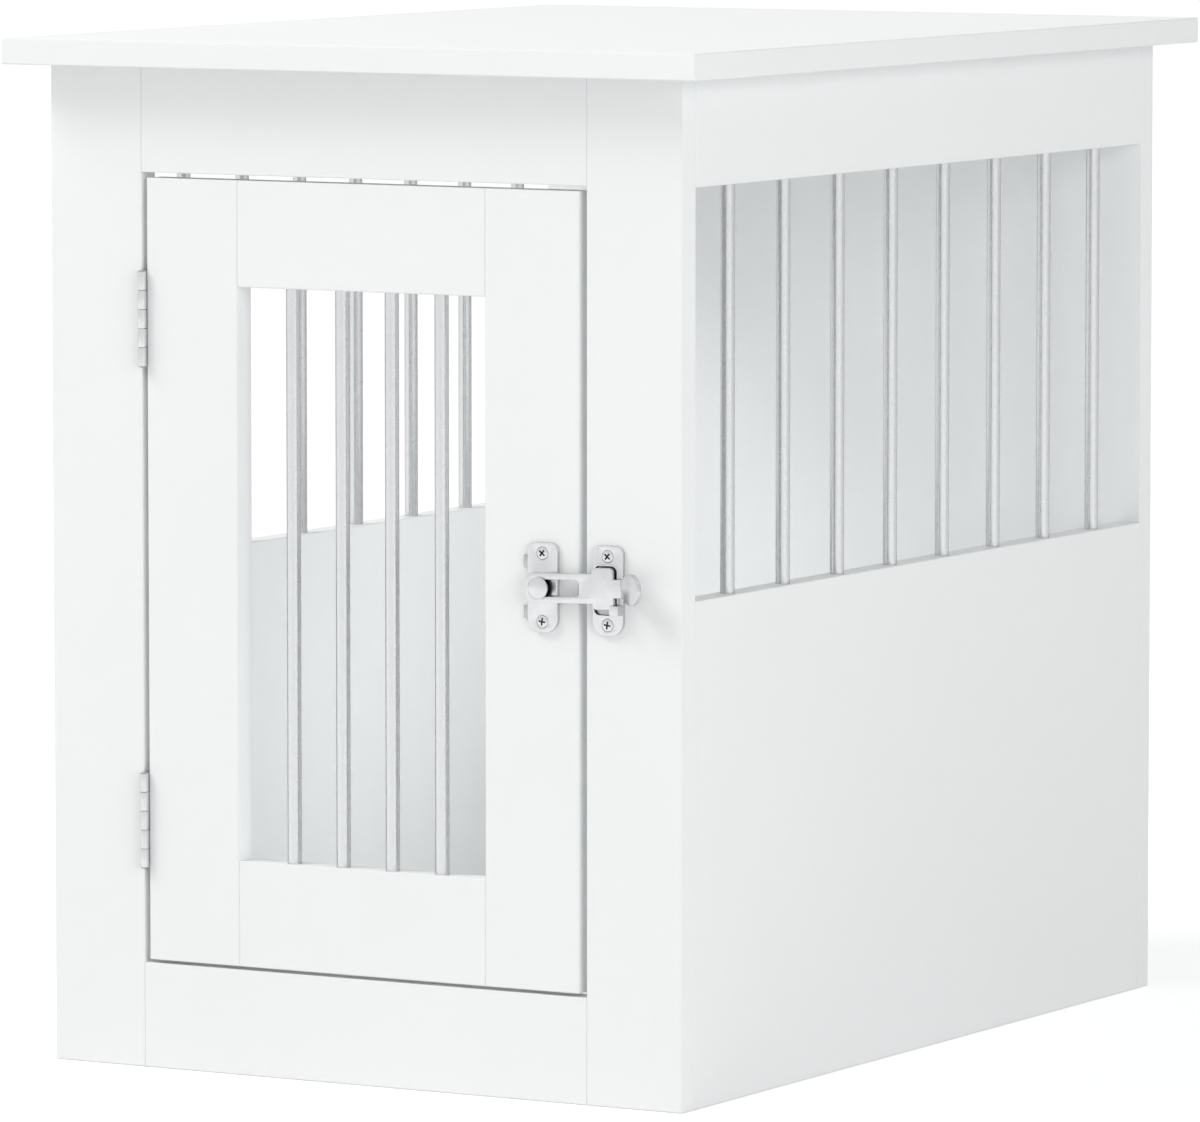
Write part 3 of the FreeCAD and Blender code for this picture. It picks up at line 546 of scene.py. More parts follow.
class SolidTree(NodeWriter):
    """A geometry tree that puts one small solid at every point it is given."""

    def __init__(self, name: str, sizes: Iterable[str]) -> None:
        """Start a tree.

        Args:
            name: its name.
            sizes: names of its inputs, each a length.
        """
        group = bpy.data.node_groups.new(name, "GeometryNodeTree")
        group.is_modifier = True
        super().__init__(group)
        sockets = group.interface
        sockets.new_socket("Geometry", in_out="INPUT", socket_type="NodeSocketGeometry")
        self.ids = {size: sockets.new_socket(size, in_out="INPUT", socket_type="NodeSocketFloat").identifier
                    for size in sizes}
        finish = sockets.new_socket("Finish", in_out="INPUT", socket_type="NodeSocketMaterial")
        self.finish_id = finish.identifier
        sockets.new_socket("Geometry", in_out="OUTPUT", socket_type="NodeSocketGeometry")
        self.entry = self.add("NodeGroupInput").outputs

    def pick(self, index: Socket, values: Sequence[Scalar]) -> Socket:
        """One of several numbers, by index.

        Args:
            index: socket of the index.
            values: the numbers or sockets.

        Returns:
            The picked number's socket.
        """
        node = self.add("GeometryNodeIndexSwitch", data_type="FLOAT")
        while len(node.index_switch_items) < len(values):
            node.index_switch_items.new()
        for entry, value in zip(node.inputs, (index, *values)):
            self.feed(entry, value)
        return node.outputs[0]

    def dome(self, radius: Scalar, foot: Scalar, rise: Scalar, steps: int) -> list[Station]:
        """Stations of a low dome, from just above its rim to its top.

        Args:
            radius: the rim's radius.
            foot: the rim's height.
            rise: the dome's height.
            steps: how many stations.

        Returns:
            The stations.
        """
        made = []
        for step in range(1, steps + 1):
            angle = math.pi / 2 * step / steps
            height = self.math("ADD", foot, self.math("MULTIPLY", rise, math.sin(angle)))
            made.append((height, self.math("MULTIPLY", radius, max(math.cos(angle), 0.0))))
        return made

    def turned(self, stations: Sequence[Station], sides: int) -> Socket:
        """A solid turned about Z.

        Args:
            stations: (height, radius) from the foot to the top.
            sides: faces round it.

        Returns:
            The solid's socket.
        """
        index = self.add("GeometryNodeInputIndex").outputs[0]
        line = self.add("GeometryNodeMeshLine", {"Count": len(stations), "Offset": (0.0, 0.0, MM)})
        curve = self.add("GeometryNodeMeshToCurve", {"Mesh": line.outputs[0]}).outputs[0]
        height = self.pick(index, [h for h, _ in stations])
        spot = self.add("ShaderNodeCombineXYZ", {"Z": height}).outputs[0]
        path = self.add("GeometryNodeSetPosition", {"Geometry": curve, "Position": spot}).outputs[0]
        ring = self.add("GeometryNodeCurvePrimitiveCircle", {"Resolution": sides, "Radius": 1.0})
        inputs = {"Curve": path, "Profile Curve": ring.outputs[0],
                  "Scale": self.pick(index, [r for _, r in stations]), "Fill Caps": True}
        solid = self.add("GeometryNodeCurveToMesh", inputs).outputs[0]
        return self.add("GeometryNodeMergeByDistance", {"Geometry": solid, "Distance": MERGE}).outputs[0]

    def bar(self, length: Scalar, width: Scalar, depth: Scalar, top: Scalar, turn: float) -> Socket:
        """A straight cutter that reaches from above a face down into it.

        Args:
            length: its length.
            width: its width.
            depth: how far it goes below the top.
            top: height of the face it opens.
            turn: angle about Z.

        Returns:
            The cutter's socket.
        """
        tall = self.math("MULTIPLY", depth, 2.0)
        size = self.add("ShaderNodeCombineXYZ", {0: length, 1: width, 2: tall}).outputs[0]
        cube = self.add("GeometryNodeMeshCube", {"Size": size}).outputs[0]
        lift = self.add("ShaderNodeCombineXYZ", {"Z": top}).outputs[0]
        inputs = {"Geometry": cube, "Translation": lift, "Rotation": (0.0, 0.0, turn)}
        return self.add("GeometryNodeTransform", inputs).outputs[0]

    def cut(self, solid: Socket, cutters: Iterable[Socket]) -> Socket:
        """Take cutters away from a solid, one after another.

        Args:
            solid: the solid's socket.
            cutters: the cutters' sockets.

        Returns:
            The cut solid's socket.
        """
        for cutter in cutters:
            node = self.add("GeometryNodeMeshBoolean", {0: solid, 1: cutter},
                            operation="DIFFERENCE", solver="EXACT")
            solid = node.outputs[0]
        return solid

    def close(self, solid: Socket) -> None:
        """End the tree: the solid at each point, turned as the point says, realized and finished.

        Args:
            solid: the solid's socket.
        """
        facing, along = (self.add("GeometryNodeInputNamedAttribute", {"Name": name},
                                  data_type="FLOAT_VECTOR").outputs[0] for name in ("facing", "along"))
        turn = self.add("FunctionNodeAxesToRotation", {"Primary Axis": facing, "Secondary Axis": along},
                        primary_axis="Z", secondary_axis="X").outputs[0]
        inputs = {"Points": self.entry["Geometry"], "Instance": solid, "Rotation": turn}
        copies = self.add("GeometryNodeInstanceOnPoints", inputs).outputs[0]
        real = self.add("GeometryNodeRealizeInstances", {"Geometry": copies}).outputs[0]
        done = self.add("GeometryNodeSetMaterial", {"Geometry": real, "Material": self.entry["Finish"]})
        self.add("NodeGroupOutput", {0: done.outputs[0]})

    def place(self, name: str, places: Sequence[Place], sizes: dict[str, float],
              finish: Material) -> Object:
        """Run the tree and keep its result as a plain mesh.

        Args:
            name: the piece's name.
            places: where the solids stand.
            sizes: the tree's inputs by name.
            finish: the material.

        Returns:
            The piece.
        """
        mesh = bpy.data.meshes.new(name)
        mesh.from_pydata([p.foot for p in places], [], [])
        for label in ("facing", "along"):
            values = [c for p in places for c in getattr(p, label)]
            mesh.attributes.new(label, "FLOAT_VECTOR", "POINT").data.foreach_set("vector", values)
        piece = added(name, mesh)
        modifier = piece.modifiers.new("solids", "NODES")
        modifier.node_group = self.tree
        for size, value in sizes.items():
            modifier[self.ids[size]] = value
        modifier[self.finish_id] = finish
        return settled(piece)


def settled(piece: Object) -> Object:
    """Turn a piece's modifiers into its mesh, smooth its round faces and turn its faces outwards.

    Args:
        piece: an object with modifiers.

    Returns:
        The same object with a plain mesh and no modifier.
    """
    depsgraph = bpy.context.evaluated_depsgraph_get()
    mesh = bpy.data.meshes.new_from_object(piece.evaluated_get(depsgraph), depsgraph=depsgraph)
    piece.modifiers.clear()
    old = piece.data
    piece.data = mesh
    bpy.data.meshes.remove(old)
    mesh.name = piece.name
    shell = bmesh.new()
    shell.from_mesh(mesh)
    bmesh.ops.remove_doubles(shell, verts=shell.verts, dist=MERGE)
    bmesh.ops.recalc_face_normals(shell, faces=shell.faces)
    shell.to_mesh(mesh)
    shell.free()
    mesh.shade_smooth()
    mesh.set_sharp_from_angle(angle=SMOOTH_ANGLE)
    return piece


def rod_tree() -> SolidTree:
    """A round rod with its cut ends lightly chamfered.

    Returns:
        The tree, with inputs Diameter, Length and Chamfer.
    """
    tree = SolidTree("rod", ("Diameter", "Length", "Chamfer"))
    size = tree.entry
    radius = tree.math("MULTIPLY", size["Diameter"], 0.5)
    inner = tree.math("SUBTRACT", radius, size["Chamfer"])
    shoulder = tree.math("SUBTRACT", size["Length"], size["Chamfer"])
    stations = [(0.0, inner), (size["Chamfer"], radius), (shoulder, radius), (size["Length"], inner)]
    tree.close(tree.turned(stations, sides=40))
    return tree


def screw_tree() -> SolidTree:
    """A countersunk screw with a flat or raised head and a cross recess; its rim is at the foot.

    Returns:
        The tree, with inputs Head, Shank, Length, Rise, Span, Width and Depth.
    """
    tree = SolidTree("screw", ("Head", "Shank", "Length", "Rise", "Span", "Width", "Depth"))
    size = tree.entry
    head = tree.math("MULTIPLY", size["Head"], 0.5)
    shank = tree.math("MULTIPLY", size["Shank"], 0.5)
    tip = tree.math("MULTIPLY", size["Length"], -1.0)
    taper = tree.math("ADD", tip, size["Shank"])
    neck = tree.math("SUBTRACT", shank, head)
    rim_share = 0.985
    rim_drop = 0.04 * MM
    rim = tree.math("MULTIPLY", head, rim_share)
    stations = [(tip, 0.0), (taper, shank), (neck, shank), (-rim_drop, head), (0.0, rim)]
    stations += tree.dome(rim, 0.0, size["Rise"], steps=5)
    solid = tree.turned(stations, sides=32)
    cutters = [tree.bar(size["Span"], size["Width"], size["Depth"], size["Rise"], turn)
               for turn in (0.0, math.pi / 2)]
    core_share = 1.55
    core = tree.math("MULTIPLY", size["Width"], core_share)
    cutters.append(tree.bar(core, core, size["Depth"], size["Rise"], math.pi / 4))
    tree.close(tree.cut(solid, cutters))
    return tree


def cam_tree() -> SolidTree:
    """A cam lock: a drum with chamfered rims and a cross recess.

    Returns:
        The tree, with inputs Diameter, Depth, Span, Width and Recess.
    """
    tree = SolidTree("cam", ("Diameter", "Depth", "Span", "Width", "Recess"))
    size = tree.entry
    radius = tree.math("MULTIPLY", size["Diameter"], 0.5)
    chamfer = 0.5 * MM
    rim = tree.math("SUBTRACT", radius, chamfer)
    shoulder = tree.math("SUBTRACT", size["Depth"], chamfer)
    stations = [(0.0, rim), (chamfer, radius), (shoulder, radius), (size["Depth"], rim)]
    solid = tree.turned(stations, sides=40)
    cutters = [tree.bar(size["Span"], size["Width"], size["Recess"], size["Depth"], turn)
               for turn in (0.0, math.pi / 2)]
    tree.close(tree.cut(solid, cutters))
    return tree


def post_tree() -> SolidTree:
    """The latch's pivot post: foot, shank, collar and domed cap.

    Returns:
        The tree: its inputs are diameters, heights above the foot, and the dome's rise.
    """
    tree = SolidTree("pivot post", ("Foot", "Foot Height", "Shank", "Collar", "Cap",
                                    "Shank End", "Cap Start", "Cap Edge", "Rise"))
    size = tree.entry
    foot, shank, collar, cap = (tree.math("MULTIPLY", size[n], 0.5)
                                for n in ("Foot", "Shank", "Collar", "Cap"))
    step = 0.02 * MM
    round_off = 0.25 * MM
    edge_top = tree.math("ADD", size["Cap Start"], size["Cap Edge"])
    stations = [(0.0, foot), (size["Foot Height"], foot),
                (tree.math("ADD", size["Foot Height"], step), shank), (size["Shank End"], shank),
                (tree.math("ADD", size["Shank End"], step), collar), (size["Cap Start"], collar),
                (tree.math("ADD", size["Cap Start"], step), tree.math("SUBTRACT", cap, round_off)),
                (tree.math("ADD", size["Cap Start"], round_off), cap), (edge_top, cap)]
    stations += tree.dome(cap, edge_top, size["Rise"], steps=9)
    tree.close(tree.turned(stations, sides=56))
    return tree


# ---- working from the frame


@dataclass
class Crate:
    """What every sub-assembly shares: the frame's nodes, the finishes and how edges are rounded.

    A corner of a rounded piece that lies further than the stray distance from its solid is a stray one.
    """

    nodes: dict[str, Object]
    finishes: SharedFinishes
    flat_angle: float = math.radians(0.5)
    edge_angle: float = math.radians(40)
    stray: float = 0.4 * MM

    def dress(self, node: str, finish: Material) -> None:
        """Give a carried-over solid its finish.

        Args:
            node: the solid's name.
            finish: the material.
        """
        carried = self.nodes[node]
        carried.data.materials.clear()
        carried.data.materials.append(finish)
        log.info("kept %s", node)

    def keep(self, piece: Object, body: str, slot: Slot, nodes: Sequence[str]) -> None:
        """Put a new piece on its body in place of its solids.

        Args:
            piece: the new piece.
            body: the body it moves with.
            slot: the record's slot of its finish; not used.
            nodes: the solids that it stands for.
        """
        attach(piece, body)
        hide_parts(*nodes)
        log.info("built %s for %s", piece.name, ", ".join(nodes))

    def eased(self, node: str, name: str, width: float, slot: Slot, segments: int = 3) -> Object:
        """A copy of a solid with its sharp edges rounded.

        Args:
            node: the solid's name.
            name: the piece's name.
            width: the rounding's width.
            slot: the slot of its finish.
            segments: steps across the rounding.

        Returns:
            The piece.
        """
        shell = bmesh.new()
        shell.from_mesh(self.nodes[node].data)
        bmesh.ops.remove_doubles(shell, verts=shell.verts, dist=MERGE)
        bmesh.ops.dissolve_limit(shell, angle_limit=self.flat_angle, verts=shell.verts, edges=shell.edges)
        mesh = bpy.data.meshes.new(name)
        shell.to_mesh(mesh)
        shell.free()
        for layer in [a for a in mesh.attributes if a.name == "custom_normal"]:
            mesh.attributes.remove(layer)
        mesh.materials.clear()
        mesh.materials.append(self.finishes[slot])
        piece = added(name, mesh)
        bevel = piece.modifiers.new("ease", "BEVEL")
        bevel.width = width
        bevel.segments = segments
        bevel.limit_method = "ANGLE"
        bevel.angle_limit = self.edge_angle
        bevel.use_clamp_overlap = False
        return self.inside(settled(piece), node)

    def inside(self, piece: Object, node: str) -> Object:
        """Draw a piece's stray corners back to its solid.

        Args:
            piece: the piece, made from the solid.
            node: the solid's name.

        Returns:
            The piece.
        """
        solid = BVHTree.FromObject(self.nodes[node], bpy.context.evaluated_depsgraph_get())
        for vertex in piece.data.vertices:
            nearest, _, _, distance = solid.find_nearest(vertex.co)
            if distance > self.stray:
                vertex.co = nearest
        return piece

    def solids(self, node: str) -> list[tuple[Vector, Vector]]:
        """Boxes of the separate solids of a node.

        Args:
            node: the node's name.

        Returns:
            The lowest and highest corner of each, from the lowest box up.
        """
        shell = bmesh.new()
        shell.from_mesh(self.nodes[node].data)
        bmesh.ops.remove_doubles(shell, verts=shell.verts, dist=MERGE)
        boxes = []
        waiting = set(shell.verts)
        while waiting:
            reached = {waiting.pop()}
            edge = set(reached)
            while edge:
                edge = {e.other_vert(v) for v in edge for e in v.link_edges} - reached
                reached |= edge
            waiting -= reached
            corners = [v.co for v in reached]
            boxes.append((Vector(map(min, *corners)), Vector(map(max, *corners))))
        shell.free()
        return sorted(boxes, key=lambda box: (box[0].z, box[0].x, box[0].y))


# ---- sub-assemblies


BOARDS = ("top_panel", "front_left_stile", "front_right_stile", "front_top_rail",
          "front_bottom_rail", "back_panel", "floor_panel", "left_lower_panel",
          "right_lower_panel", "left_upper_rail", "right_upper_rail",
          "door_left_stile", "door_right_stile", "door_top_rail", "door_bottom_rail")


@dataclass
class Boards:
    """The white boards of the fixed body and the door, kept as solids with an edge-banded finish."""

    crate: Crate
    names: Sequence[str] = BOARDS
    finish: MelamineBoard = MelamineBoard()

    def build(self) -> None:
        """Dress every board with a finish that follows its own edges."""
        for name in self.names:
            low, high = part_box(name)
            self.crate.dress(name, self.finish.material("white_" + name, low, high))


@dataclass
class RodBank:
    """A row of steel rods that stand in blind holes of two boards."""

    crate: Crate
    tree: SolidTree
    name: str
    body: str
    nodes: Sequence[str]
    chamfer: float = 0.5 * MM

    def build(self) -> None:
        """Make the row's rods in place of its solids."""
        boxes = [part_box(node) for node in self.nodes]
        low, high = boxes[0]
        places = [Place(Vector(((a.x + b.x) / 2, (a.y + b.y) / 2, a.z)), Z_AXIS, X_AXIS) for a, b in boxes]
        sizes = {"Diameter": high.x - low.x, "Length": high.z - low.z, "Chamfer": self.chamfer}
        piece = self.tree.place(self.name, places, sizes, self.crate.finishes[Slot.ROD])
        self.crate.keep(piece, self.body, Slot.ROD, self.nodes)


@dataclass
class Fittings:
    """Dowels, cam bolts and cam locks in the boards; only the locks' faces show, inside or below."""

    crate: Crate
    tree: SolidTree
    prefix: str
    body: str
    span: float = 7.5 * MM
    width: float = 2.0 * MM
    recess: float = 2.5 * MM

    def build(self) -> None:
        """Dress the hidden fittings and make the cam locks."""
        self.crate.dress(self.prefix + "_dowels", self.crate.finishes[Slot.BEECH])
        self.crate.dress(self.prefix + "_cam_bolts", self.crate.finishes[Slot.ZINC])
        node = self.prefix + "_cam_locks"
        boxes = self.crate.solids(node)
        places = [self.place_of(low, high) for low, high in boxes]
        extents = sorted(boxes[0][1] - boxes[0][0])
        sizes = {"Diameter": extents[-1], "Depth": extents[0], "Span": self.span, "Width": self.width,
                 "Recess": self.recess}
        piece = self.tree.place(self.prefix + "_cams", places, sizes, self.crate.finishes[Slot.ZINC])
        self.crate.keep(piece, self.body, Slot.ZINC, [node])

    def place_of(self, low: Vector, high: Vector) -> Place:
        """Where a cam lock stands, from its box: it faces the cabin's inside or the floor.

        Args:
            low: the lock's lowest corner.
            high: the lock's highest corner.

        Returns:
            Its place.
        """
        extents = list(high - low)
        axis = extents.index(min(extents))
        centre = (low + high) / 2
        sign = (-math.copysign(1.0, centre.x), 1.0, -1.0)[axis]
        facing = Vector((0, 0, 0))
        facing[axis] = sign
        along = Z_AXIS if axis != 2 else X_AXIS
        return Place(centre - facing * min(extents) / 2, facing, along)


@dataclass
class Screws:
    """Countersunk screws with a cross recess, all facing one way."""

    crate: Crate
    tree: SolidTree
    node: str
    body: str
    facing: Vector
    head: float
    shank: float
    rise: float
    turns: Sequence[float]
    span_share: float = 0.62
    width_share: float = 0.15
    depth_share: float = 0.30
    recess_shade: float = 0.2
    recess_start: float = 0.03 * MM
    recess_fade: float = 0.1 * MM

    @property
    def axis(self) -> int:
        """The axis that the screws lie along."""
        return max(range(3), key=lambda i: abs(self.facing[i]))

    def build(self) -> None:
        """Make the screws at the places of their solids, with painted shade in their crosses from just
        below the rim.
        """
        boxes = self.crate.solids(self.node)
        places = [self.place_of(low, high, turn) for (low, high), turn in zip(boxes, self.turns)]
        length = (boxes[0][1] - boxes[0][0])[self.axis] - self.rise
        sizes = {"Head": self.head, "Shank": self.shank, "Length": length, "Rise": self.rise,
                 "Span": self.head * self.span_share, "Width": self.head * self.width_share,
                 "Depth": self.head * self.depth_share}
        name = self.node.replace("screws", "screw_set")
        # painted shade: the cross recess and all below the rim are darkened, where shade falls in the
        # hollow
        start = places[0].foot - self.facing * self.recess_start
        recess = PaintedShade.behind(start, self.facing, self.recess_shade, self.recess_fade)
        finish = FINISHES[Slot.NICKEL].material(f"nickel_{name}", [recess])
        piece = self.tree.place(name, places, sizes, finish)
        self.crate.keep(piece, self.body, Slot.NICKEL, [self.node])

    def place_of(self, low: Vector, high: Vector, turn: float) -> Place:
        """Where a screw's rim lies.

        Args:
            low: the screw's lowest corner.
            high: the screw's highest corner.
            turn: angle of its cross, in degrees.

        Returns:
            Its place.
        """
        foot = (low + high) / 2
        tip = high if self.facing[self.axis] > 0 else low
        foot[self.axis] = tip[self.axis] - self.facing[self.axis] * self.rise
        side = Z_AXIS.cross(self.facing)
        angle = math.radians(turn)
        return Place(foot, self.facing, Z_AXIS * math.cos(angle) + side * math.sin(angle))


@dataclass
class Hinges:
    """Two butt hinges: leaves in the door gap, rolled knuckles and pins."""

    crate: Crate
    screws: SolidTree
    ease: float = 0.18 * MM
    pin_ease: float = 0.10 * MM
    screw_head: float = 5.4 * MM
    screw_shank: float = 2.8 * MM
    screw_rise: float = 0.02 * MM
    turns: Sequence[float] = (12.0, 55.0, 31.0, 74.0)

    def build(self) -> None:
        """Make the leaves, pins and screws of both hinges."""
        for height in ("upper", "lower"):
            for side, body in (("frame", "cabinet"), ("door", "door")):
                node = f"{height}_hinge_{side}_leaf"
                piece = self.crate.eased(node, f"{height}_{side}_leaf", self.ease, Slot.NICKEL)
                self.crate.keep(piece, body, Slot.NICKEL, [node])
            node = f"{height}_hinge_pin"
            piece = self.crate.eased(node, f"{height}_pin", self.pin_ease, Slot.NICKEL, segments=2)
            self.crate.keep(piece, "cabinet", Slot.NICKEL, [node])
        for node, body, facing in (("hinge_frame_screws", "cabinet", X_AXIS),
                                   ("hinge_door_screws", "door", -X_AXIS)):
            Screws(self.crate, self.screws, node, body, facing, self.screw_head, self.screw_shank,
                   self.screw_rise, self.turns).build()


@dataclass
class Latch:
    """The flip latch: plate, post and slotted arm on the door, keeper on the stile.

    Painted shade on the keeper and the arm is placed from their boxes in X and Y, and from the post in Z.
    """

    crate: Crate
    screws: SolidTree
    post: SolidTree
    plate_ease: float = 0.22 * MM
    arm_ease: float = 0.45 * MM
    screw_head: float = 7.0 * MM
    screw_shank: float = 3.4 * MM
    screw_rise: float = 0.6 * MM
    turns: Sequence[float] = (8.0, 40.0)
    foot: float = 8.0 * MM
    foot_height: float = 0.8 * MM
    shank: float = 6.0 * MM
    collar: float = 9.1 * MM
    collar_length: float = 3.3 * MM
    cap_edge: float = 0.9 * MM
    cap_rise: float = 1.8 * MM
    # painted shade on the latch: where it starts behind the cap, its factors on the colour, and the reach
    # and fade of each patch
    cap_shadow: float = 0.1 * MM
    dark_shade: float = 0.12
    boss_shade_radius: float = 6.9 * MM
    lug_reach: float = 3.0 * MM
    lug_shade: float = 0.68
    lug_fade: float = 0.1 * MM
    keeper_thickness: float = 2.6 * MM
    pocket_middle: Triple = (8.5 * MM, 1.3 * MM, 0.1 * MM)
    pocket_reach: Triple = (7.4 * MM, 0.9 * MM, 13.9 * MM)
    pocket_shade: float = 0.5
    corner_middle: Triple = (-3.1 * MM, 0.0, -10.2 * MM)
    corner_reach: Triple = (1.2 * MM, 1.6 * MM, 2.7 * MM)
    corner_shade: float = 0.2
    root_middle: Triple = (-12.0 * MM, -5.0 * MM, -3.0 * MM)
    root_reach: Triple = (4.5 * MM, 4.0 * MM, 5.5 * MM)
    root_shade: float = 0.4
    root_fade: float = 4.0 * MM
    tab_reach: float = 13.0 * MM
    tab_shade: float = 0.93
    tab_fade: float = 1.5 * MM

    def build(self) -> None:
        """Make every piece of the latch."""
        for node, name, body, ease in (
                ("latch_door_plate", "door_plate", "door", self.plate_ease),
                ("latch_keeper", "keeper_plate", "cabinet", self.plate_ease),
                ("latch_arm", "flip_arm", "latch_arm", self.arm_ease)):
            piece = self.crate.eased(node, name, ease, Slot.NICKEL)
            piece.data.materials[0] = FINISHES[Slot.NICKEL].material(f"nickel_{name}", self.painted_shades(node))
            self.crate.keep(piece, body, Slot.NICKEL, [node])
        self.build_post()
        for node, body in (("latch_door_screws", "door"), ("latch_keeper_screws", "cabinet")):
            Screws(self.crate, self.screws, node, body, -Y_AXIS, self.screw_head, self.screw_shank,
                   self.screw_rise, self.turns).build()

    def painted_shades(self, node: str) -> list[PaintedShade]:
        """Where shade is painted into a part of the latch's colour.

        Args:
            node: the door plate, the keeper or the arm.

        Returns:
            Its painted shades.
        """
        low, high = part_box(node)
        post_low, post_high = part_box("latch_pivot_post")
        post = (post_low + post_high) / 2
        # painted shade round the post, where the arm's slot shows the plate in the cap's shadow, and on the
        # lugs, which lie in shade
        if node == "latch_door_plate":
            lug_end = Vector((low.x + self.lug_reach, post.y, post.z))
            return [PaintedShade(post, Vector((self.boss_shade_radius,) * 3), self.dark_shade, disc=True),
                    PaintedShade.behind(lug_end, X_AXIS, self.lug_shade, self.lug_fade)]
        # painted shade in the keeper's pocket under the arm's head, and deeper painted shade in its lower
        # corner by the hook
        if node == "latch_keeper":
            face = high.y - self.keeper_thickness
            pocket = Vector((low.x, face, post.z)) + Vector(self.pocket_middle)
            corner = Vector((high.x, face, post.z)) + Vector(self.corner_middle)
            return [PaintedShade(pocket, Vector(self.pocket_reach), self.pocket_shade),
                    PaintedShade(corner, Vector(self.corner_reach), self.corner_shade)]
        # painted shade at the tab's root, where shade falls between neck and tab, and a little over the
        # bent tab for the darker surroundings it reflects
        root = Vector((high.x, high.y, post.z)) + Vector(self.root_middle)
        tab_start = Vector((high.x - self.tab_reach, high.y, post.z))
        return [PaintedShade(root, Vector(self.root_reach), self.root_shade, self.root_fade),
                PaintedShade.behind(tab_start, -X_AXIS, self.tab_shade, self.tab_fade)]

    def build_post(self) -> None:
        """Make the pivot post as one turned piece, with painted shade behind its cap."""
        low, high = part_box("latch_pivot_post")
        foot = Vector(((low.x + high.x) / 2, high.y, (low.z + high.z) / 2))
        cap_start = high.y - low.y - self.cap_edge - self.cap_rise
        sizes = {"Foot": self.foot, "Foot Height": self.foot_height, "Shank": self.shank,
                 "Collar": self.collar, "Cap": high.x - low.x, "Shank End": cap_start - self.collar_length,
                 "Cap Start": cap_start, "Cap Edge": self.cap_edge, "Rise": self.cap_rise}
        # painted shade: all behind the cap's back is darkened, for the shadow under the cap
        under_cap = PaintedShade.behind(foot - Y_AXIS * (cap_start - self.cap_shadow), -Y_AXIS, self.dark_shade)
        finish = FINISHES[Slot.NICKEL].material("nickel_post", [under_cap])
        piece = self.post.place("dome_post", [Place(foot, -Y_AXIS, Z_AXIS)], sizes, finish)
        self.crate.keep(piece, "latch_pivot", Slot.NICKEL, ["latch_pivot_post"])


# ---- studio


def hang(name: str, lamp: bpy.types.Light, place: Triple) -> Object:
    """Put a lamp in the scene, itself unseen.

    Args:
        name: the lamp's name.
        lamp: its data.
        place: where it hangs.

    Returns:
        The lamp's object.
    """
    holder = added(name, lamp)
    holder.location = place
    holder.visible_camera = False
    holder.visible_glossy = False
    return holder


@dataclass(frozen=True)
class Softbox:
    """A square area lamp aimed at the middle of the object.

    Its power grows with the square of its distance, so that its level alone says how much it lights.
    """

    name: str
    place: Triple
    side: float
    level: float
    colour: Colour = (1.0, 1.0, 1.0)

    def build(self, target: Vector) -> None:
        """Make the lamp.

        Args:
            target: the point it is aimed at.
        """
        lamp = bpy.data.lights.new(self.name, "AREA")
        lamp.shape = "SQUARE"
        lamp.size = self.side
        lamp.color = self.colour
        toward = target - Vector(self.place)
        lamp.energy = self.level * math.pi * toward.length_squared * math.pi
        holder = hang(self.name, lamp, self.place)
        holder.rotation_mode = "QUATERNION"
        holder.rotation_quaternion = toward.to_track_quat("-Z", "Y")


@dataclass(frozen=True)
class CabinGlow:
    """A large soft lamp in the cabin that opens up its shadows."""

    place: Triple = (0.02, 0.0, 0.15)
    radius: float = 0.12
    watts: float = 0.545

    def build(self) -> None:
        """Make the lamp."""
        lamp = bpy.data.lights.new("cabin_glow", "POINT")
        lamp.energy = self.watts
        lamp.shadow_soft_size = self.radius
        hang("cabin_glow", lamp, self.place)


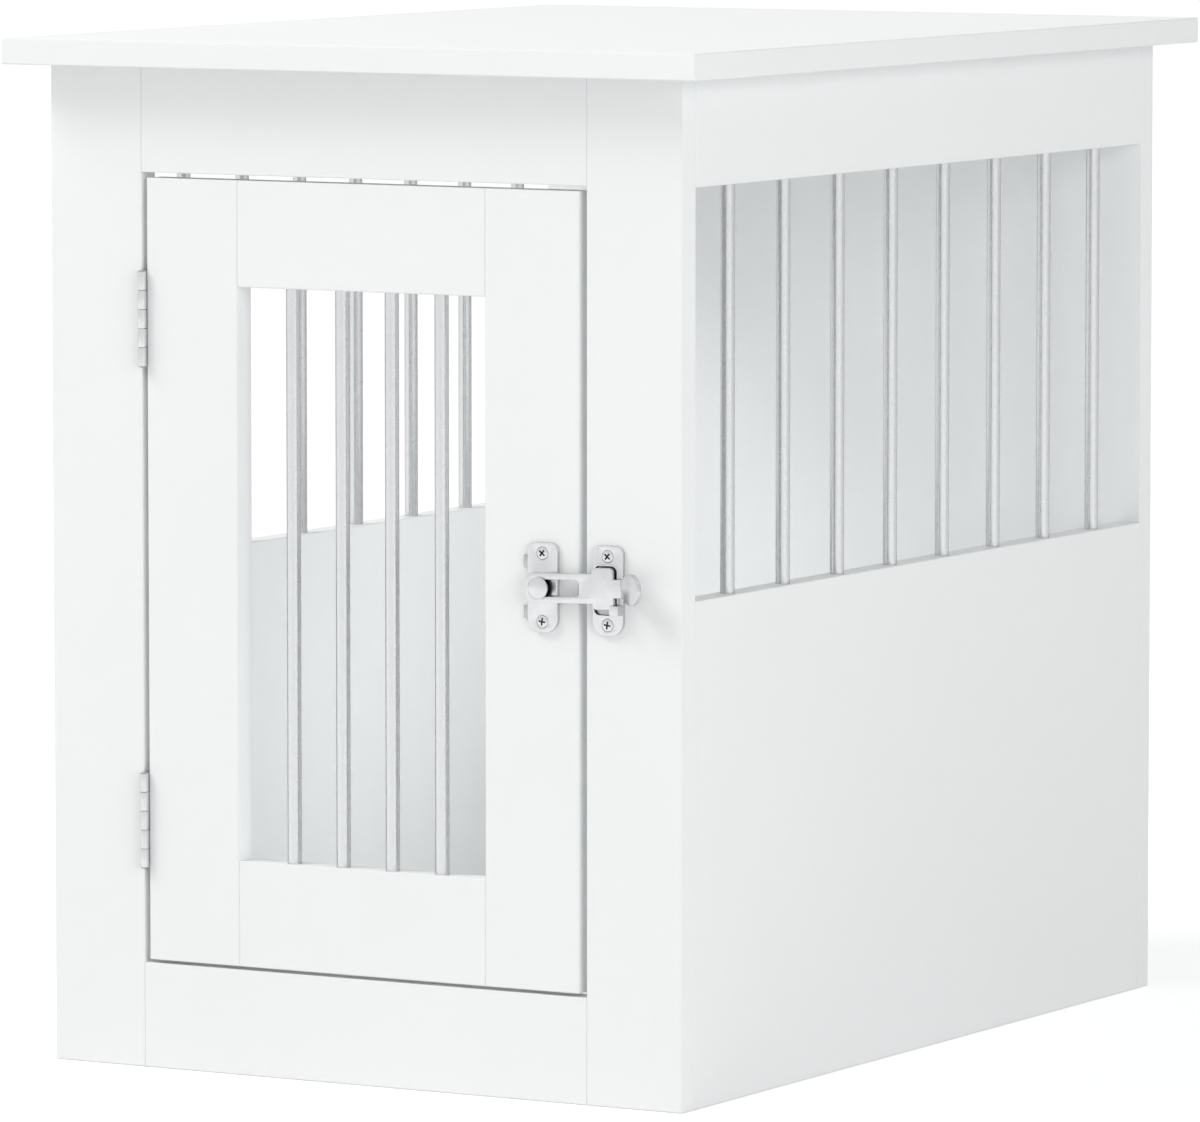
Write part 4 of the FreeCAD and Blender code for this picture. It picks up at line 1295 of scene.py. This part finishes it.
@dataclass(frozen=True)
class Studio:
    """Pale floor, white surround, soft lamps and the camera at the photograph's angle."""

    floor_side: float = 80.0
    floor_drop: float = 0.2 * MM
    ambient: float = 0.564
    ambient_colour: Colour = (0.985, 0.995, 1.0)
    screen_toward: Triple = (0.574, 0.819, 0.0)
    screen_edge: Range = (0.7, 0.85)
    screen_level: float = 0.3
    lamps: tuple[Softbox, ...] = (
        Softbox("key", (-2.53, -1.93, 3.61), 2.0, 0.515, (1.0, 0.995, 0.985)),
        Softbox("side_fill", (3.6, -1.9, 1.2), 2.2, 0.317),
    )
    glow: CabinGlow = CabinGlow()
    camera_place: Triple = (2.6692, -4.6866, 0.7898)
    camera_azimuth: float = 29.769
    camera_pitch: float = 5.481
    camera_lens: float = 277.2
    camera_sensor: float = 36.0
    camera_reach: Range = (0.1, 200.0)

    def build(self, target: Vector) -> None:
        """Set the stage.

        Args:
            target: the middle of the object.
        """
        self.build_floor()
        self.build_world()
        for lamp in self.lamps:
            lamp.build(target)
        self.glow.build()
        self.build_camera()
        bpy.context.scene.view_settings.view_transform = "Standard"

    def build_floor(self) -> None:
        """A large plain floor just under the object."""
        half = self.floor_side / 2
        mesh = bpy.data.meshes.new("floor")
        corners = [(-half, -half), (half, -half), (half, half), (-half, half)]
        mesh.from_pydata([(x, y, -self.floor_drop) for x, y in corners], [], [(0, 1, 2, 3)])
        mesh.materials.append(PaleFloor().material("studio_floor"))
        floor = added("floor", mesh)
        floor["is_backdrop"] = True

    def build_world(self) -> None:
        """Even light from all round, seen as plain white; gloss also sees a dark screen behind."""
        world = bpy.data.worlds.new("studio")
        world.use_nodes = True
        writer = NodeWriter(world.node_tree)
        writer.tree.nodes.clear()
        light = writer.add("ShaderNodeBackground",
                           {"Color": (*self.ambient_colour, 1.0), "Strength": self.ambient}).outputs[0]
        direction = writer.add("ShaderNodeTexCoord").outputs["Generated"]
        toward = writer.vector("DOT_PRODUCT", direction, self.screen_toward)
        screen = writer.spread(toward, 0.0, 1 - self.screen_level, self.screen_edge)
        gloss = writer.add("ShaderNodeLightPath").outputs["Is Glossy Ray"]
        strength = writer.math("SUBTRACT", 1.0, writer.math("MULTIPLY", gloss, screen))
        white = writer.add("ShaderNodeBackground", {"Color": WHITE, "Strength": strength}).outputs[0]
        mixed = writer.add("ShaderNodeMixShader", {0: seen_directly(writer), 1: light, 2: white})
        writer.add("ShaderNodeOutputWorld", {0: mixed.outputs[0]})
        bpy.context.scene.world = world

    def build_camera(self) -> None:
        """The camera, level from side to side and pitched a little down."""
        lens = bpy.data.cameras.new("camera")
        lens.sensor_width = self.camera_sensor
        lens.lens = self.camera_lens
        lens.clip_start, lens.clip_end = self.camera_reach
        camera = added("camera", lens)
        camera.location = self.camera_place
        camera.rotation_euler = (math.radians(90 - self.camera_pitch), 0.0,
                                 math.radians(self.camera_azimuth))
        bpy.context.scene.camera = camera


# ---- the whole table


SIDES = ("left", "right")
SIDE_RODS = 8
DOOR_RODS = 4


def main() -> None:
    """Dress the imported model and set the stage."""
    logging.basicConfig(level=logging.INFO, format="%(name)s: %(message)s")
    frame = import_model()
    low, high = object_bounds()
    crate = Crate(frame["nodes"], SharedFinishes())
    Boards(crate).build()
    rods = rod_tree()
    for side in SIDES:
        nodes = [f"{side}_side_rod_{i}" for i in range(1, SIDE_RODS + 1)]
        RodBank(crate, rods, f"{side}_window_rods", "cabinet", nodes).build()
    nodes = [f"door_rod_{i}" for i in range(1, DOOR_RODS + 1)]
    RodBank(crate, rods, "door_window_rods", "door", nodes).build()
    cams = cam_tree()
    Fittings(crate, cams, "carcass", "cabinet").build()
    Fittings(crate, cams, "door", "door").build()
    screws = screw_tree()
    Hinges(crate, screws).build()
    Latch(crate, screws, post_tree()).build()
    Studio().build((low + high) / 2)


if __name__ == "__main__":
    main()
